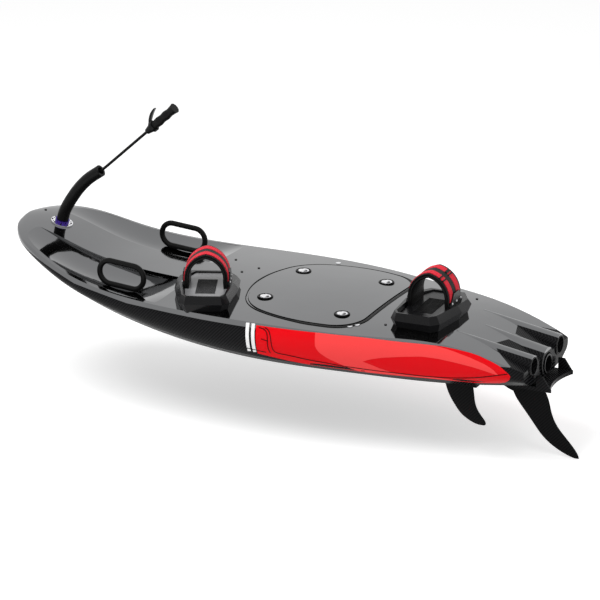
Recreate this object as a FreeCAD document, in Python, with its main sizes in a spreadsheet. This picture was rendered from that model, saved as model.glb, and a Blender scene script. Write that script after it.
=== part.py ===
import FreeCAD, Part
import math
import os

import Sketcher

# Jet-driven surfboard, in millimetres.
# X points to the nose, Y to port and Z up. The origin is at the waterline amidships, on the centreline.

V = FreeCAD.Vector
UP = V(0, 0, 1)
FORWARD = V(1, 0, 0)
PORT = V(0, 1, 0)
SIDES = [("port", 1), ("starboard", -1)]

doc = FreeCAD.newDocument("jet_surfboard")
sheet = doc.addObject("Spreadsheet::Sheet", "Sizes")

# alias, value, what it is
SIZES = [
    ("bow_reach", 914, "waterline origin to the tip of the nose"),
    ("stern_reach", 845, "waterline origin to the transom"),
    ("half_beam", 323, "centreline to the widest point of the deck edge"),
    ("hull_depth", 123, "deck edge to keel amidships"),
    ("deck_crown", 12, "rise of the deck's middle over its edge amidships"),
    ("rail_bulge", 7, "how far the rail swells past the deck edge"),
    ("rail_tuck", 42, "how far the bottom corner lies inside the deck edge"),
    ("chine_inset", 15, "how far the chine over the bottom corner lies inside the deck edge"),
    ("chine_rise", 20, "height of the chine over the bottom corner"),
    ("deck_skirt", 15, "how far the deck moulding reaches down the rail"),
    ("fit_gap", 0.3, "clearance between pieces that are fitted together"),
    ("well_wall_y", 85, "centreline to the step beside the centre spine"),
    ("well_edge", 12, "how far inside the deck edge the handle well ends"),
    ("well_step", 16, "deepest part of the step beside the spine"),
    ("well_sag", 30, "deepest fall of the handle well under the deck"),
    ("well_skin", 10, "thickness of the deck moulding under a handle well"),
    ("hatch_front", 98, "front of the engine lid"),
    ("hatch_rear", 328, "rear edge of the engine lid, aft of the origin"),
    ("hatch_half", 258, "half width of the engine lid"),
    ("hatch_gap", 1.5, "gap round the engine lid"),
    ("hatch_proud", 3, "how far the lid stands over the deck"),
    ("rebate_floor", 78, "height of the ledge that carries the lid seal"),
    ("rebate_width", 24, "width of that ledge"),
    ("seal_thick", 3, "thickness of the lid seal"),
    ("seal_width", 12, "width of the lid seal"),
    ("seal_inset", 3, "lid edge to the lid seal"),
    ("bay_floor", -32, "height of the engine bay floor"),
    ("bulkhead_wall", 12, "wall before and behind the engine bay"),
    ("latch_radius", 23.5, "outer radius of a lid latch"),
    ("latch_depth", 8, "depth of a latch cup"),
    ("latch_base", 2, "thickness of a latch cup's floor"),
    ("latch_proud", 1, "how far a latch stands over the lid"),
    ("latch_cup", 19, "radius of the finger recess in a latch"),
    ("latch_bar", 8, "width of a latch's turning bar"),
    ("latch_front_x", 17, "front latches ahead of the origin"),
    ("latch_front_y", 133, "front latches off the centreline"),
    ("latch_rear_x", 252, "rear latches aft of the origin"),
    ("latch_rear_y", 160, "rear latches off the centreline"),
    ("engine_long", 235, "length of the engine block"),
    ("engine_wide", 230, "width of the engine block"),
    ("engine_tall", 98, "height of the engine block"),
    ("engine_rear", 288, "rear face of the engine block, aft of the origin"),
    ("pump_axis", -20, "height of the jet pump's axis"),
    ("pump_radius", 34, "outer radius of the pump housing"),
    ("pump_wall", 3, "wall of the pump housing"),
    ("pump_inset", 45, "transom to the rear end of the pump housing"),
    ("pump_long", 170, "length of the pump housing"),
    ("nozzle_proud", 8, "how far the jet nozzle stands out of the transom"),
    ("nozzle_land", 14, "length of the straight part of the nozzle's bore"),
    ("nozzle_bore", 25, "bore radius of the jet nozzle at its mouth"),
    ("nozzle_lip", 5, "wall of the jet nozzle at its mouth"),
    ("stator_inset", 22, "rear end of the pump housing to the middle of the stator"),
    ("stator_chord", 30, "length of a stator vane"),
    ("stator_wall", 2.5, "thickness of the stator's ring and vanes"),
    ("shaft_radius", 7, "radius of the drive shaft"),
    ("hub_radius", 11, "radius of the impeller hub"),
    ("blade_gap", 5, "running gap round the impeller blades"),
    ("impeller_inset", 110, "transom to the rear face of the impeller hub"),
    ("impeller_long", 38, "length of the impeller hub"),
    ("blade_thick", 3, "thickness of an impeller blade"),
    ("intake_inset", 70, "front end of the pump housing to the rear end of the water intake"),
    ("intake_long", 200, "length of the water intake"),
    ("intake_half", 33, "half width of the water intake"),
    ("grille_bar", 5, "width of an intake grille bar"),
    ("grille_tall", 8, "height of the intake grille"),
    ("grille_rim", 10, "width of the intake grille's end bars"),
    ("exhaust_y", 103, "exhaust tubes off the centreline"),
    ("exhaust_z", 5, "height of the exhaust tubes' axes"),
    ("exhaust_radius", 28, "outer radius of an exhaust tube"),
    ("exhaust_wall", 3, "wall of an exhaust tube"),
    ("exhaust_long", 142, "length of an exhaust tube"),
    ("exhaust_proud", 4, "how far an exhaust tube stands out of the transom"),
    ("hump_wall", 4, "wall of the moulded hump round an exhaust tube"),
    ("hump_long", 245, "transom to the forward tip of a side hump"),
    ("hump_tip", 20, "radius of a hump at its forward tip"),
    ("centre_hump_long", 195, "transom to the forward tip of the centre hump"),
    ("centre_hump_radius", 44.5, "radius of the centre hump at its mouth"),
    ("finger_half", 17, "half width of the deck moulding's cap on a side hump"),
    ("centre_finger_half", 26, "half width of the deck moulding's cap on the centre hump"),
    ("outer_notch", 110, "transom to the head of the trough outside a side hump"),
    ("inner_notch", 128, "transom to the heads of the troughs beside the centre hump"),
    ("notch_foot", 37, "transom to the place where the outer trough meets the deck edge"),
    ("trough_drop", 40, "fall of a trough's floor from its head to the transom"),
    ("plate_inset", 145, "transom to the front end of the ride plate"),
    ("plate_overhang", 52, "transom to the rear corners of the ride plate"),
    ("plate_taper", 60, "length of the ride plate's tapered front"),
    ("plate_nose", 25, "how much narrower the ride plate is at its front, each side"),
    ("plate_notch", 18, "depth of the ride plate's concave rear edge"),
    ("plate_side", 90, "half width of the ride plate"),
    ("plate_thick", 12, "thickness of the ride plate"),
    ("cheek_thick", 6, "thickness of the ride plate's side cheeks"),
    ("cheek_top", -30, "height of the cheeks' upper edge"),
    ("cheek_long", 20, "length of the cheeks' upper edge"),
    ("centre_fin_inset", 129, "transom to the front of the centre fin's root"),
    ("centre_fin_deep", 230, "depth of the centre fin"),
    ("centre_fin_thick", 11, "greatest thickness of the centre fin"),
    ("side_fin_inset", 272, "transom to the front of a side fin's root"),
    ("side_fin_deep", 117, "depth of a side fin"),
    ("side_fin_thick", 8, "greatest thickness of a side fin"),
    ("side_fin_y", 140, "side fins off the centreline"),
    ("fin_base_long", 125, "length of a side fin's base"),
    ("fin_base_wide", 26, "width of a side fin's base"),
    ("fin_base_thick", 4, "thickness of a side fin's base"),
    ("handle_x", 474, "middle of the grab handles ahead of the origin"),
    ("handle_y", 204, "grab handles off the centreline"),
    ("handle_long", 152, "length of a grab handle between tube centres"),
    ("handle_tall", 74, "height of a grab handle between tube centres"),
    ("handle_tube", 8.5, "radius of the grab handle's rubber tube"),
    ("front_foot_x", 191, "front binding ahead of the origin"),
    ("front_foot_y", 182, "front binding off the centreline"),
    ("rear_foot_x", 485, "rear binding aft of the origin"),
    ("rear_foot_y", 35, "rear binding off the centreline"),
    ("foot_long", 290, "length of a binding base, heel to toe"),
    ("foot_half", 98, "half width of a binding base beside the strap"),
    ("foot_tuck", 12, "how far a binding base is drawn in at the deck"),
    ("foot_waist", 18, "height of a binding base's widest line over the deck"),
    ("heel_rim", 44, "height of a binding base's rim at the heel"),
    ("toe_rim", 30, "height of a binding base's rim at the toe"),
    ("foot_bed", 20, "height of the foot bed's underside over the deck"),
    ("bed_thick", 6, "thickness of the foot bed"),
    ("foot_wall", 9, "thickness of a binding base's rim"),
    ("base_sink", 12, "how far a binding base reaches under the crown before it is fitted to the deck"),
    ("strap_wide", 100, "width of a foot strap, heel to toe"),
    ("strap_thick", 14, "thickness of a foot strap's padding"),
    ("strap_top", 134, "top of a foot strap over the deck"),
    ("strap_set", 29, "middle of the strap toward the toe"),
    ("wing_long", 92, "length of a strap bracket at its foot"),
    ("wing_crest", 40, "length of a strap bracket at its top"),
    ("wing_tall", 36, "height of a strap bracket"),
    ("wing_thick", 5, "thickness of a strap bracket"),
    ("wing_bolt", 3, "radius of a strap bracket's bolt holes"),
    ("flange_inset", 120, "tip of the nose to the middle of the nose fitting"),
    ("flange_radius", 35, "radius of the nose fitting's flange"),
    ("flange_thick", 4, "thickness of the nose fitting's flange"),
    ("flange_sink", 10, "how far the flange reaches under the crown before it is fitted to the deck"),
    ("flange_bolt", 2.5, "radius of the bolt holes in the flange"),
    ("bolt_circle", 29, "radius of the flange's bolt circle"),
    ("collar_radius", 22.5, "radius of the nose fitting's collar"),
    ("collar_tall", 8, "height of the nose fitting's collar"),
    ("hose_radius", 19, "radius of the control hose"),
    ("hose_bore", 12, "bore radius of the control hose at its end"),
    ("hose_mouth", 25, "depth of that bore"),
    ("hose_rise", 176, "height of the control hose"),
    ("cable_radius", 4.5, "radius of the throttle cable"),
    ("cable_stub", 12, "length of the throttle cable before its bend"),
    ("cable_run", 210, "length of the throttle cable from its bend to the grip"),
    ("grip_radius", 15, "radius of the throttle grip"),
    ("grip_neck", 9, "radius of the throttle grip where the cable enters"),
    ("grip_cone", 25, "length of the throttle grip's neck"),
    ("grip_long", 130, "length of the throttle grip"),
    ("trigger_long", 46, "length of the throttle trigger"),
    ("trigger_reach", 24, "how far the throttle trigger stands out from the grip"),
    ("trigger_wide", 10, "width of the throttle trigger"),
    ("plug_radius", 4, "radius of a screw plug in the deck"),
    ("plug_tall", 2, "height of a screw plug over the deck"),
    ("cap_radius", 8, "radius of a filler cap in the deck"),
]
for row, (alias, value, meaning) in enumerate(SIZES, start=1):
    sheet.set("A%d" % row, meaning)
    sheet.set("B%d" % row, str(value))
    sheet.setAlias("B%d" % row, alias)
doc.recompute()


def size(alias):
    return float(sheet.get(alias))


GAP = size("fit_gap")
FAR = 2 * size("half_beam")  # reach of a cutting tool past what it cuts
TRANSOM = -size("stern_reach")

# Hull stations from the stern to the nose. Columns: place as a share of the reach aft (negative)
# or forward, half breadth as a share of the half beam, heights of the deck edge and the keel as
# shares of the hull's depth, share of the crown, rise of the bottom corner as a share of the depth.
STATIONS = [
    (-1.000, 0.530, 0.065, -0.488, 0.30, 0.106),
    (-0.888, 0.596, 0.309, -0.504, 0.35, 0.065),
    (-0.710, 0.666, 0.585, -0.545, 0.70, 0.024),
    (-0.473, 0.817, 0.659, -0.488, 1.00, 0.024),
    (-0.178, 0.966, 0.711, -0.398, 1.00, 0.024),
    (0.142, 1.000, 0.732, -0.268, 1.00, 0.024),
    (0.438, 0.935, 0.780, 0.033, 1.05, 0.024),
    (0.656, 0.833, 0.976, 0.415, 1.15, 0.033),
    (0.820, 0.700, 1.341, 0.902, 1.20, 0.033),
    (0.925, 0.520, 1.569, 1.252, 1.10, 0.020),
    (0.975, 0.330, 1.650, 1.415, 0.80, 0.016),
    (0.996, 0.120, 1.691, 1.520, 0.40, 0.012),
]


def station_x(share):
    reach = size("bow_reach") if share > 0 else size("stern_reach")
    return share * reach


def between(x, column):
    """Value of a station column at x, on straight lines between the stations."""
    places = [station_x(row[0]) for row in STATIONS]
    values = [row[column] for row in STATIONS]
    if x <= places[0]:
        return values[0]
    for low in range(len(places) - 1):
        if x <= places[low + 1]:
            part = (x - places[low]) / (places[low + 1] - places[low])
            return values[low] + part * (values[low + 1] - values[low])
    return values[-1]


def edge_y(x):
    """Breadth of the deck edge at x, from the centreline."""
    return between(x, 1) * size("half_beam")


def deck_level(x, y=0.0):
    """Height of the smooth deck at a point."""
    upright = Part.makeLine(V(x, y, -FAR), V(x, y, FAR))
    return whole_hull.Shape.common(upright).optimalBoundingBox().ZMax


def keel_level(x, y=0.0):
    """Height of the smooth bottom at a point."""
    upright = Part.makeLine(V(x, y, -FAR), V(x, y, FAR))
    return whole_hull.Shape.common(upright).optimalBoundingBox().ZMin


def lowest_keel(front):
    """Height of the lowest point of the smooth keel aft of a place."""
    tail = Part.makeBox(front - TRANSOM + FAR, 2 * FAR, 2 * FAR, V(TRANSOM - FAR, -FAR, -FAR))
    return whole_hull.Shape.common(tail).optimalBoundingBox().ZMin


def wire(points):
    """Closed wire of lines, and of an arc wherever a point is a (middle, end) pair."""
    edges = []
    here = points[0]
    for item in list(points[1:]) + [points[0]]:
        if isinstance(item, tuple):
            middle, end = item
            edges.append(Part.Arc(here, middle, end).toShape())
            here = end
        elif (item - here).Length > 1e-6:
            edges.append(Part.LineSegment(here, item).toShape())
            here = item
    return Part.Wire(edges)


def prism(outline, along):
    return Part.Face(wire(outline)).extrude(along)


def feature(name, shape):
    obj = doc.addObject("Part::Feature", name)
    obj.Shape = shape
    return obj


def cylinder(name, radius, length, base, axis=UP):
    """Part cylinder whose radius and length are expressions over the sheet."""
    obj = doc.addObject("Part::Cylinder", name)
    obj.setExpression("Radius", radius)
    obj.setExpression("Height", length)
    obj.Placement = FreeCAD.Placement(base, FreeCAD.Rotation(UP, axis))
    return obj


def box(name, long, wide, tall, base):
    """Part box whose sides are expressions over the sheet."""
    obj = doc.addObject("Part::Box", name)
    obj.setExpression("Length", long)
    obj.setExpression("Width", wide)
    obj.setExpression("Height", tall)
    obj.Placement.Base = base
    return obj


def cut(name, base, tools):
    joined = tools[0]
    if len(tools) > 1:
        joined = doc.addObject("Part::MultiFuse", name + "_tools")
        joined.Shapes = tools
    obj = doc.addObject("Part::Cut", name)
    obj.Base = base
    obj.Tool = joined
    return obj


def fuse(name, pieces):
    obj = doc.addObject("Part::MultiFuse", name)
    obj.Shapes = pieces
    return obj


def common(name, pieces):
    obj = doc.addObject("Part::MultiCommon", name)
    obj.Shapes = pieces
    return obj


def sketch_on(body, name, role):
    """Empty sketch on one of a body's own origin planes."""
    sketch = body.newObject("Sketcher::SketchObject", name)
    plane = next(item for item in body.Origin.OriginFeatures if item.Role == role)
    sketch.AttachmentSupport = [(plane, "")]
    sketch.MapMode = "FlatFace"
    return sketch


def outline_sketch(body, name, role, corners):
    """Closed sketch of straight lines. Each corner is a pair of expressions over the sheet."""
    sketch = sketch_on(body, name, role)
    count = len(corners)
    ring = [V(math.cos(math.tau * n / count), math.sin(math.tau * n / count), 0) for n in range(count)]
    for n in range(count):
        sketch.addGeometry(Part.LineSegment(ring[n], ring[(n + 1) % count]), False)
    for n in range(count):
        sketch.addConstraint(Sketcher.Constraint("Coincident", n, 2, (n + 1) % count, 1))
    for n, pair in enumerate(corners):
        for kind, text in zip(("DistanceX", "DistanceY"), pair):
            number = sketch.addConstraint(Sketcher.Constraint(kind, -1, 1, n, 1, 1.0))
            sketch.setExpression("Constraints[%d]" % number, text)
    return sketch


def circle_sketch(body, name, role, radius, out=None):
    """Sketch of one circle. Its radius, and its distance along the sketch's X, are expressions."""
    sketch = sketch_on(body, name, role)
    sketch.addGeometry(Part.Circle(V(1, 0, 0), UP, 1), False)
    number = sketch.addConstraint(Sketcher.Constraint("Radius", 0, 1.0))
    sketch.setExpression("Constraints[%d]" % number, radius)
    if out is None:
        sketch.addConstraint(Sketcher.Constraint("Coincident", 0, 3, -1, 1))
    else:
        sketch.addConstraint(Sketcher.Constraint("PointOnObject", 0, 3, -1))
        number = sketch.addConstraint(Sketcher.Constraint("DistanceX", -1, 1, 0, 3, 1.0))
        sketch.setExpression("Constraints[%d]" % number, out)
    return sketch


def turned(name, corners):
    """Body turned round its own X axis from an outline of (along, outward) expressions."""
    body = doc.addObject("PartDesign::Body", name)
    profile = outline_sketch(body, name + "_profile", "XZ_Plane", corners)
    revolution = body.newObject("PartDesign::Revolution", name + "_turn")
    revolution.Profile = profile
    revolution.ReferenceAxis = (profile, ["H_Axis"])
    revolution.Angle = 360
    return body


def padded(body, sketch, length):
    pad = body.newObject("PartDesign::Pad", sketch.Name + "_pad")
    pad.Profile = sketch
    pad.setExpression("Length", length)
    return pad


def pocketed(body, sketch):
    """Pocket through everything on the side of the sketch's normal."""
    pocket = body.newObject("PartDesign::Pocket", sketch.Name + "_pocket")
    pocket.Profile = sketch
    pocket.Type = "ThroughAll"
    pocket.Reversed = True
    return pocket


PARTS = []


def keep(obj, label):
    """Mark an object as a sub-part of the board and give it its name."""
    obj.Label = label
    PARTS.append(obj)
    return obj


# Body of the hull: one smooth loft through the stations. Each has a crowned deck, a rounded side down
# to a chine, a short slope under it and a hollow bottom.
TUCK_SHARE = 0.3  # most of the half breadth that the bottom corner may lie inside
CHINE_SHARE = 0.25  # most of the side's height that the slope under the chine may take
SWELL_SHARE = 0.45  # how far down the side its widest line lies


def station_wire(row, lift=0.0):
    share, breadth, edge_share, keel_share, crown, rise = row
    depth = size("hull_depth")
    x = station_x(share)
    half = breadth * size("half_beam")
    edge = edge_share * depth + lift
    keel = keel_share * depth + lift
    low = keel + rise * depth
    tuck = min(size("rail_tuck"), TUCK_SHARE * half)
    chine_y = half - tuck * size("chine_inset") / size("rail_tuck")
    chine_z = low + min(size("chine_rise"), CHINE_SHARE * (edge - low))
    rail_y = half + size("rail_bulge") * breadth
    rail_z = edge - SWELL_SHARE * (edge - chine_z)
    return wire([V(x, -half, edge), (V(x, 0, edge + crown * size("deck_crown")), V(x, half, edge)),
                 (V(x, rail_y, rail_z), V(x, chine_y, chine_z)), V(x, half - tuck, low),
                 (V(x, 0, keel), V(x, tuck - half, low)), V(x, -chine_y, chine_z),
                 (V(x, -rail_y, rail_z), V(x, -half, edge))])


def hull_loft(lift=0.0):
    return Part.makeLoft([station_wire(row, lift) for row in STATIONS], True, False)


whole_hull = feature("whole_hull", hull_loft())

# The moulded deck is the hull above a line that follows the deck edge, a skirt's depth below it. At
# the tail it ends in three fingers, which cap the humps.
parting = [V(station_x(row[0]), -FAR, row[2] * size("hull_depth") - size("deck_skirt")) for row in STATIONS]
parting[0].x -= FAR
parting[-1].x += FAR
above_parting = feature("above_parting", prism(
    parting + [V(parting[-1].x, -FAR, FAR), V(parting[0].x, -FAR, FAR)], V(0, 2 * FAR, 0)))

notch_edge = V(TRANSOM + size("notch_foot"), edge_y(TRANSOM + size("notch_foot")), 0)
notch_outer = V(TRANSOM + size("outer_notch"), size("exhaust_y") + size("finger_half"), 0)
notch_side = V(TRANSOM + size("inner_notch"), size("exhaust_y") - size("finger_half"), 0)
notch_centre = V(TRANSOM + size("outer_notch"), size("centre_finger_half"), 0)
finger_end = TRANSOM - size("hump_tip")
trident = [V(size("bow_reach") + FAR, FAR, -FAR), V(notch_edge.x, FAR, -FAR)]
for corner in (notch_edge, notch_outer, V(finger_end, notch_outer.y, 0), V(finger_end, notch_side.y, 0),
               notch_side, notch_centre, V(finger_end, notch_centre.y, 0)):
    trident.append(V(corner.x, corner.y, -FAR))
trident += [V(corner.x, -corner.y, -FAR) for corner in reversed(trident)]
deck_plan = feature("deck_plan", prism(trident, V(0, 0, 2 * FAR)))


def hatch_outline(inset, z):
    """Outline of the engine lid: straight rear edge, rounded corners, bowed sides and front."""
    front = size("hatch_front") - inset
    rear = -size("hatch_rear") + inset
    half = size("hatch_half") - inset
    long = front - rear
    # share of the length from the rear edge, share of the half width
    marks = [(0.0, 0.58), (0.07, 0.86), (0.21, 0.975), (0.45, 1.0), (0.74, 0.89),
             (0.87, 0.73), (0.945, 0.50), (1.0, 0.0)]
    port = [V(rear + share * long, part * half, z) for share, part in marks]
    star = [V(p.x, -p.y, z) for p in port]
    return [star[0], port[0], (port[1], port[2]), (port[3], port[4]), (port[5], port[6]),
            (port[7], star[6]), (star[5], star[4]), (star[3], star[2]), (star[1], star[0])]


def hatch_prism(inset, low, high):
    return prism(hatch_outline(inset, low), V(0, 0, high - low))


# Tail humps: skewed cones that rise out of the deck and end in a round mouth behind the transom.
def hump(y, long, mouth_z, mouth_radius, proud):
    tip_x = TRANSOM + long
    tip_z = deck_level(tip_x, y) - size("hump_tip") + 0.5
    mouth = Part.makeCircle(mouth_radius, V(TRANSOM - proud, y, mouth_z), V(-1, 0, 0))
    tip = Part.makeCircle(size("hump_tip"), V(tip_x, y, tip_z), V(-1, 0, 0))
    return Part.makeLoft([Part.Wire(tip), Part.Wire(mouth)], True, True)


hump_radius = size("exhaust_radius") + size("hump_wall")
side_proud = size("exhaust_proud") - 1
centre_proud = size("nozzle_proud") - 3
centre_hump_z = size("pump_axis") + 5
side_humps = [hump(side * size("exhaust_y"), size("hump_long"), size("exhaust_z"), hump_radius, side_proud)
              for _, side in SIDES]
centre_hump = hump(0, size("centre_hump_long"), centre_hump_z, size("centre_hump_radius"), centre_proud)
humps = feature("humps", side_humps[0].multiFuse([side_humps[1], centre_hump]))


# Troughs between the humps: flat floors that fall from the deck's notched edge to the transom.
def trough(first, second, side, inner_y, outer_y):
    """Wedge over a floor that falls aft from the line between two deck points."""
    heads = [V(p.x, p.y, deck_level(p.x, p.y)) for p in (first, second)]
    along = heads[1] - heads[0]
    fall = V(TRANSOM - first.x, 0, -size("trough_drop"))
    normal = along.cross(fall)

    def floor(x, y):
        lift = (normal.x * (x - heads[0].x) + normal.y * (y - heads[0].y)) / normal.z
        return heads[0].z - lift

    slope = (second.x - first.x) / (second.y - first.y)
    aft = TRANSOM - FAR / 4
    inner_x = first.x + slope * (inner_y - first.y)
    outer_x = first.x + slope * (outer_y - first.y)
    corners = [(inner_x, inner_y), (outer_x, outer_y), (aft, outer_y), (aft, inner_y)]
    return prism([V(x, side * y, floor(x, y)) for x, y in corners], V(0, 0, FAR))


troughs = []
for _, side in SIDES:
    edge_in = V(notch_edge.x, notch_edge.y - 1, 0)
    troughs.append(trough(notch_outer, edge_in, side, size("exhaust_y"), notch_edge.y + size("rail_tuck")))
    troughs.append(trough(notch_centre, notch_side, side, 0, size("exhaust_y")))
trough_space = feature("trough_space", troughs[0].multiFuse(troughs[1:]))

# Handle wells beside the spine: a step, then a hollow floor that rises to the rail.
# Columns: place as a share of the bow reach, shares of the step and of the sag.
WELL = [(0.93, -0.10, -0.06), (0.84, 0.30, 0.35), (0.68, 0.75, 0.80), (0.53, 1.00, 1.00), (0.43, 1.00, 0.75),
        (0.345, 0.20, 0.02), (0.32, -0.10, -0.06)]


def well(side):
    sections = []
    for share, step, sag in WELL:
        x = station_x(share)
        inner = min(size("well_wall_y"), 0.5 * edge_y(x))
        outer = edge_y(x) - size("well_edge")
        middle = (inner + outer) / 2
        raised = -size("well_step") * min(step, 0)
        foot = deck_level(x, inner) - step * size("well_step")
        rim = deck_level(x, outer) - GAP + raised
        dip = min((foot + rim) / 2 - 1, deck_level(x, middle) - sag * size("well_sag"))
        if sag < 0:
            dip = (foot + rim) / 2 + raised
        over = max(foot, rim) + size("well_sag")
        sections.append(wire([V(x, side * inner, foot), (V(x, side * middle, dip), V(x, side * outer, rim)),
                              V(x, side * outer, over), V(x, side * inner, over)]))
    return Part.makeLoft(sections, True, False)


wells = feature("wells", well(1).fuse(well(-1)))
under_wells = feature("under_wells", wells.Shape.translated(V(0, 0, -size("well_skin"))))
deck_space = common("deck_space", [fuse("deck_room", [above_parting, under_wells]), deck_plan])

# Bores of the tail: the jet pump, the two exhausts, the intake tunnel and the drive shaft.
BEHIND = size("stern_reach") / 28  # how far the stern tools start behind the transom
PUMP_REAR = TRANSOM + size("pump_inset")
PUMP_FRONT = PUMP_REAR + size("pump_long")
INTAKE_REAR = PUMP_FRONT + size("intake_inset")
INTAKE_FRONT = INTAKE_REAR + size("intake_long")
SHAFT_FRONT = -size("engine_rear") - 10 * GAP


def on_axis(x):
    return V(x, 0, size("pump_axis"))


behind = "Sizes.stern_reach / 28"
pump_bore = cylinder("pump_bore", "Sizes.pump_radius + Sizes.fit_gap",
                     behind + " + Sizes.pump_inset + Sizes.pump_long + Sizes.intake_inset",
                     on_axis(TRANSOM - BEHIND), FORWARD)
exhaust_bores = [
    cylinder("exhaust_bore_" + label, "Sizes.exhaust_radius + Sizes.fit_gap",
             behind + " + Sizes.exhaust_long - Sizes.exhaust_proud + Sizes.fit_gap",
             V(TRANSOM - BEHIND, side * size("exhaust_y"), size("exhaust_z")), FORWARD)
    for label, side in SIDES]
shaft_bore = cylinder("shaft_bore", "Sizes.shaft_radius + Sizes.fit_gap",
                      "Sizes.stern_reach - Sizes.engine_rear", on_axis(PUMP_FRONT), FORWARD)

roof = size("pump_axis") + size("pump_radius")
tunnel_mouth = keel_level(INTAKE_FRONT)
half_intake = size("intake_half")
tunnel_rear = INTAKE_REAR - size("grille_rim")
tunnel = feature("tunnel", prism(
    [V(tunnel_rear, -half_intake, roof), V(INTAKE_REAR + size("intake_long") / 4, -half_intake, roof),
     V(INTAKE_FRONT, -half_intake, tunnel_mouth + size("grille_tall")),
     V(INTAKE_FRONT, -half_intake, tunnel_mouth - size("rail_tuck")),
     V(tunnel_rear, -half_intake, tunnel_mouth - size("rail_tuck"))],
    V(0, 2 * half_intake, 0)))

bay = feature("bay", hatch_prism(size("rebate_width"), size("bay_floor"), FAR))
rebate = feature("rebate", hatch_prism(0, size("rebate_floor"), FAR))

troughed = cut("troughed", whole_hull, [trough_space])
hull_and_humps = fuse("hull_and_humps", [troughed, humps])
lower_shell = cut("lower_shell", hull_and_humps,
                  [deck_space, bay, pump_bore, tunnel, shaft_bore] + exhaust_bores)

# The lower shell comes in three lengths, which meet at the bulkheads before and behind the engine bay.
bay_front = size("hatch_front") - size("rebate_width")
bay_rear = size("rebate_width") - size("hatch_rear")
bulkhead = size("bulkhead_wall")
SHELL_LENGTHS = [
    ("hull_tail", TRANSOM - FAR, bay_rear - bulkhead),
    ("hull_middle", bay_rear - bulkhead, bay_front + bulkhead),
    ("hull_bow", bay_front + bulkhead, size("bow_reach") + FAR),
]
for label, rear, front in SHELL_LENGTHS:
    slab = Part.makeBox(front - rear, 2 * FAR, 2 * FAR, V(rear, -FAR, -FAR))
    keep(common(label, [lower_shell, feature(label + "_slab", slab)]), label)

deck_and_humps = common("deck_and_humps", [fuse("deck_stock", [whole_hull, humps]), deck_space])
deck_openings = [wells, bay, rebate, pump_bore] + exhaust_bores
keep(cut("hull_deck", deck_and_humps, deck_openings), "hull_deck")

# Engine lid, its seal and its four latches.
lid_base = size("rebate_floor") + size("seal_thick") + GAP
lid_block = feature("lid_block", hatch_prism(size("hatch_gap"), lid_base, FAR))
lid_skin = feature("lid_skin", hull_loft(size("hatch_proud")))
lid_plain = common("lid_plain", [lid_skin, lid_block])

LATCHES = [
    ("front_port", size("latch_front_x"), size("latch_front_y")),
    ("front_starboard", size("latch_front_x"), -size("latch_front_y")),
    ("rear_port", -size("latch_rear_x"), size("latch_rear_y")),
    ("rear_starboard", -size("latch_rear_x"), -size("latch_rear_y")),
]
BAR_TURN = 35


def latch_floor(x, y):
    return deck_level(x, y) + size("hatch_proud") + size("latch_proud") - size("latch_depth")


latch_pockets = [cylinder("pocket_" + label, "Sizes.latch_radius + Sizes.fit_gap", "2 * Sizes.latch_depth",
                          V(x, y, latch_floor(x, y))) for label, x, y in LATCHES]
hatch_lid = keep(cut("hatch_lid", lid_plain, latch_pockets), "hatch_lid")

seal_edge = size("hatch_gap") + size("seal_inset")
seal_top = size("rebate_floor") + size("seal_thick")
seal_outer = hatch_prism(seal_edge, size("rebate_floor"), seal_top)
seal_inner = hatch_prism(seal_edge + size("seal_width"), -FAR, FAR)
keep(feature("hatch_seal", seal_outer.cut(seal_inner)), "hatch_seal")

for label, x, y in LATCHES:
    floor = latch_floor(x, y) + GAP
    cup = cylinder("cup_" + label, "Sizes.latch_radius", "Sizes.latch_depth", V(x, y, floor))
    hollow = cylinder("hollow_" + label, "Sizes.latch_cup", "Sizes.latch_depth",
                      V(x, y, floor + size("latch_base")))
    ring = cut("ring_" + label, cup, [hollow])
    bar = box("bar_" + label, "2 * Sizes.latch_cup + Sizes.latch_base", "Sizes.latch_bar",
              "Sizes.latch_depth - Sizes.latch_base", V(0, 0, 0))
    bar.Placement = FreeCAD.Placement(V(x, y, floor + size("latch_base") / 2), FreeCAD.Rotation(UP, BAR_TURN))
    bar.Placement = bar.Placement.multiply(FreeCAD.Placement(
        V(-size("latch_cup") - size("latch_base") / 2, -size("latch_bar") / 2, 0), FreeCAD.Rotation()))
    keep(fuse("latch_" + label, [ring, bar]), "latch_" + label)

# Engine, one plain block on the bay floor.
keep(box("engine", "Sizes.engine_long", "Sizes.engine_wide", "Sizes.engine_tall",
         V(-size("engine_rear"), -size("engine_wide") / 2, size("bay_floor"))), "engine_block")

# Jet pump: housing, stator, impeller on its shaft, nozzle and intake grille, all on one axis.
housing_bore = "Sizes.pump_radius - Sizes.pump_wall"
housing = turned("pump_housing", [
    ("0", housing_bore), ("Sizes.pump_long", housing_bore), ("Sizes.pump_long", "Sizes.pump_radius"),
    ("0", "Sizes.pump_radius")])
housing.Placement.Base = on_axis(PUMP_REAR)
keep(housing, "pump_housing")

bore = size("pump_radius") - size("pump_wall")


def vane(inner, outer, thick, chord, pitch, x, turn):
    """Flat blade that stands out from the axis, pitched about its own radius."""
    blade = Part.makeBox(chord, thick, outer - inner, V(-chord / 2, -thick / 2, inner))
    blade.rotate(V(0, 0, 0), UP, pitch)
    blade.rotate(V(0, 0, 0), FORWARD, turn)
    blade.translate(on_axis(x))
    return blade


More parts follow.
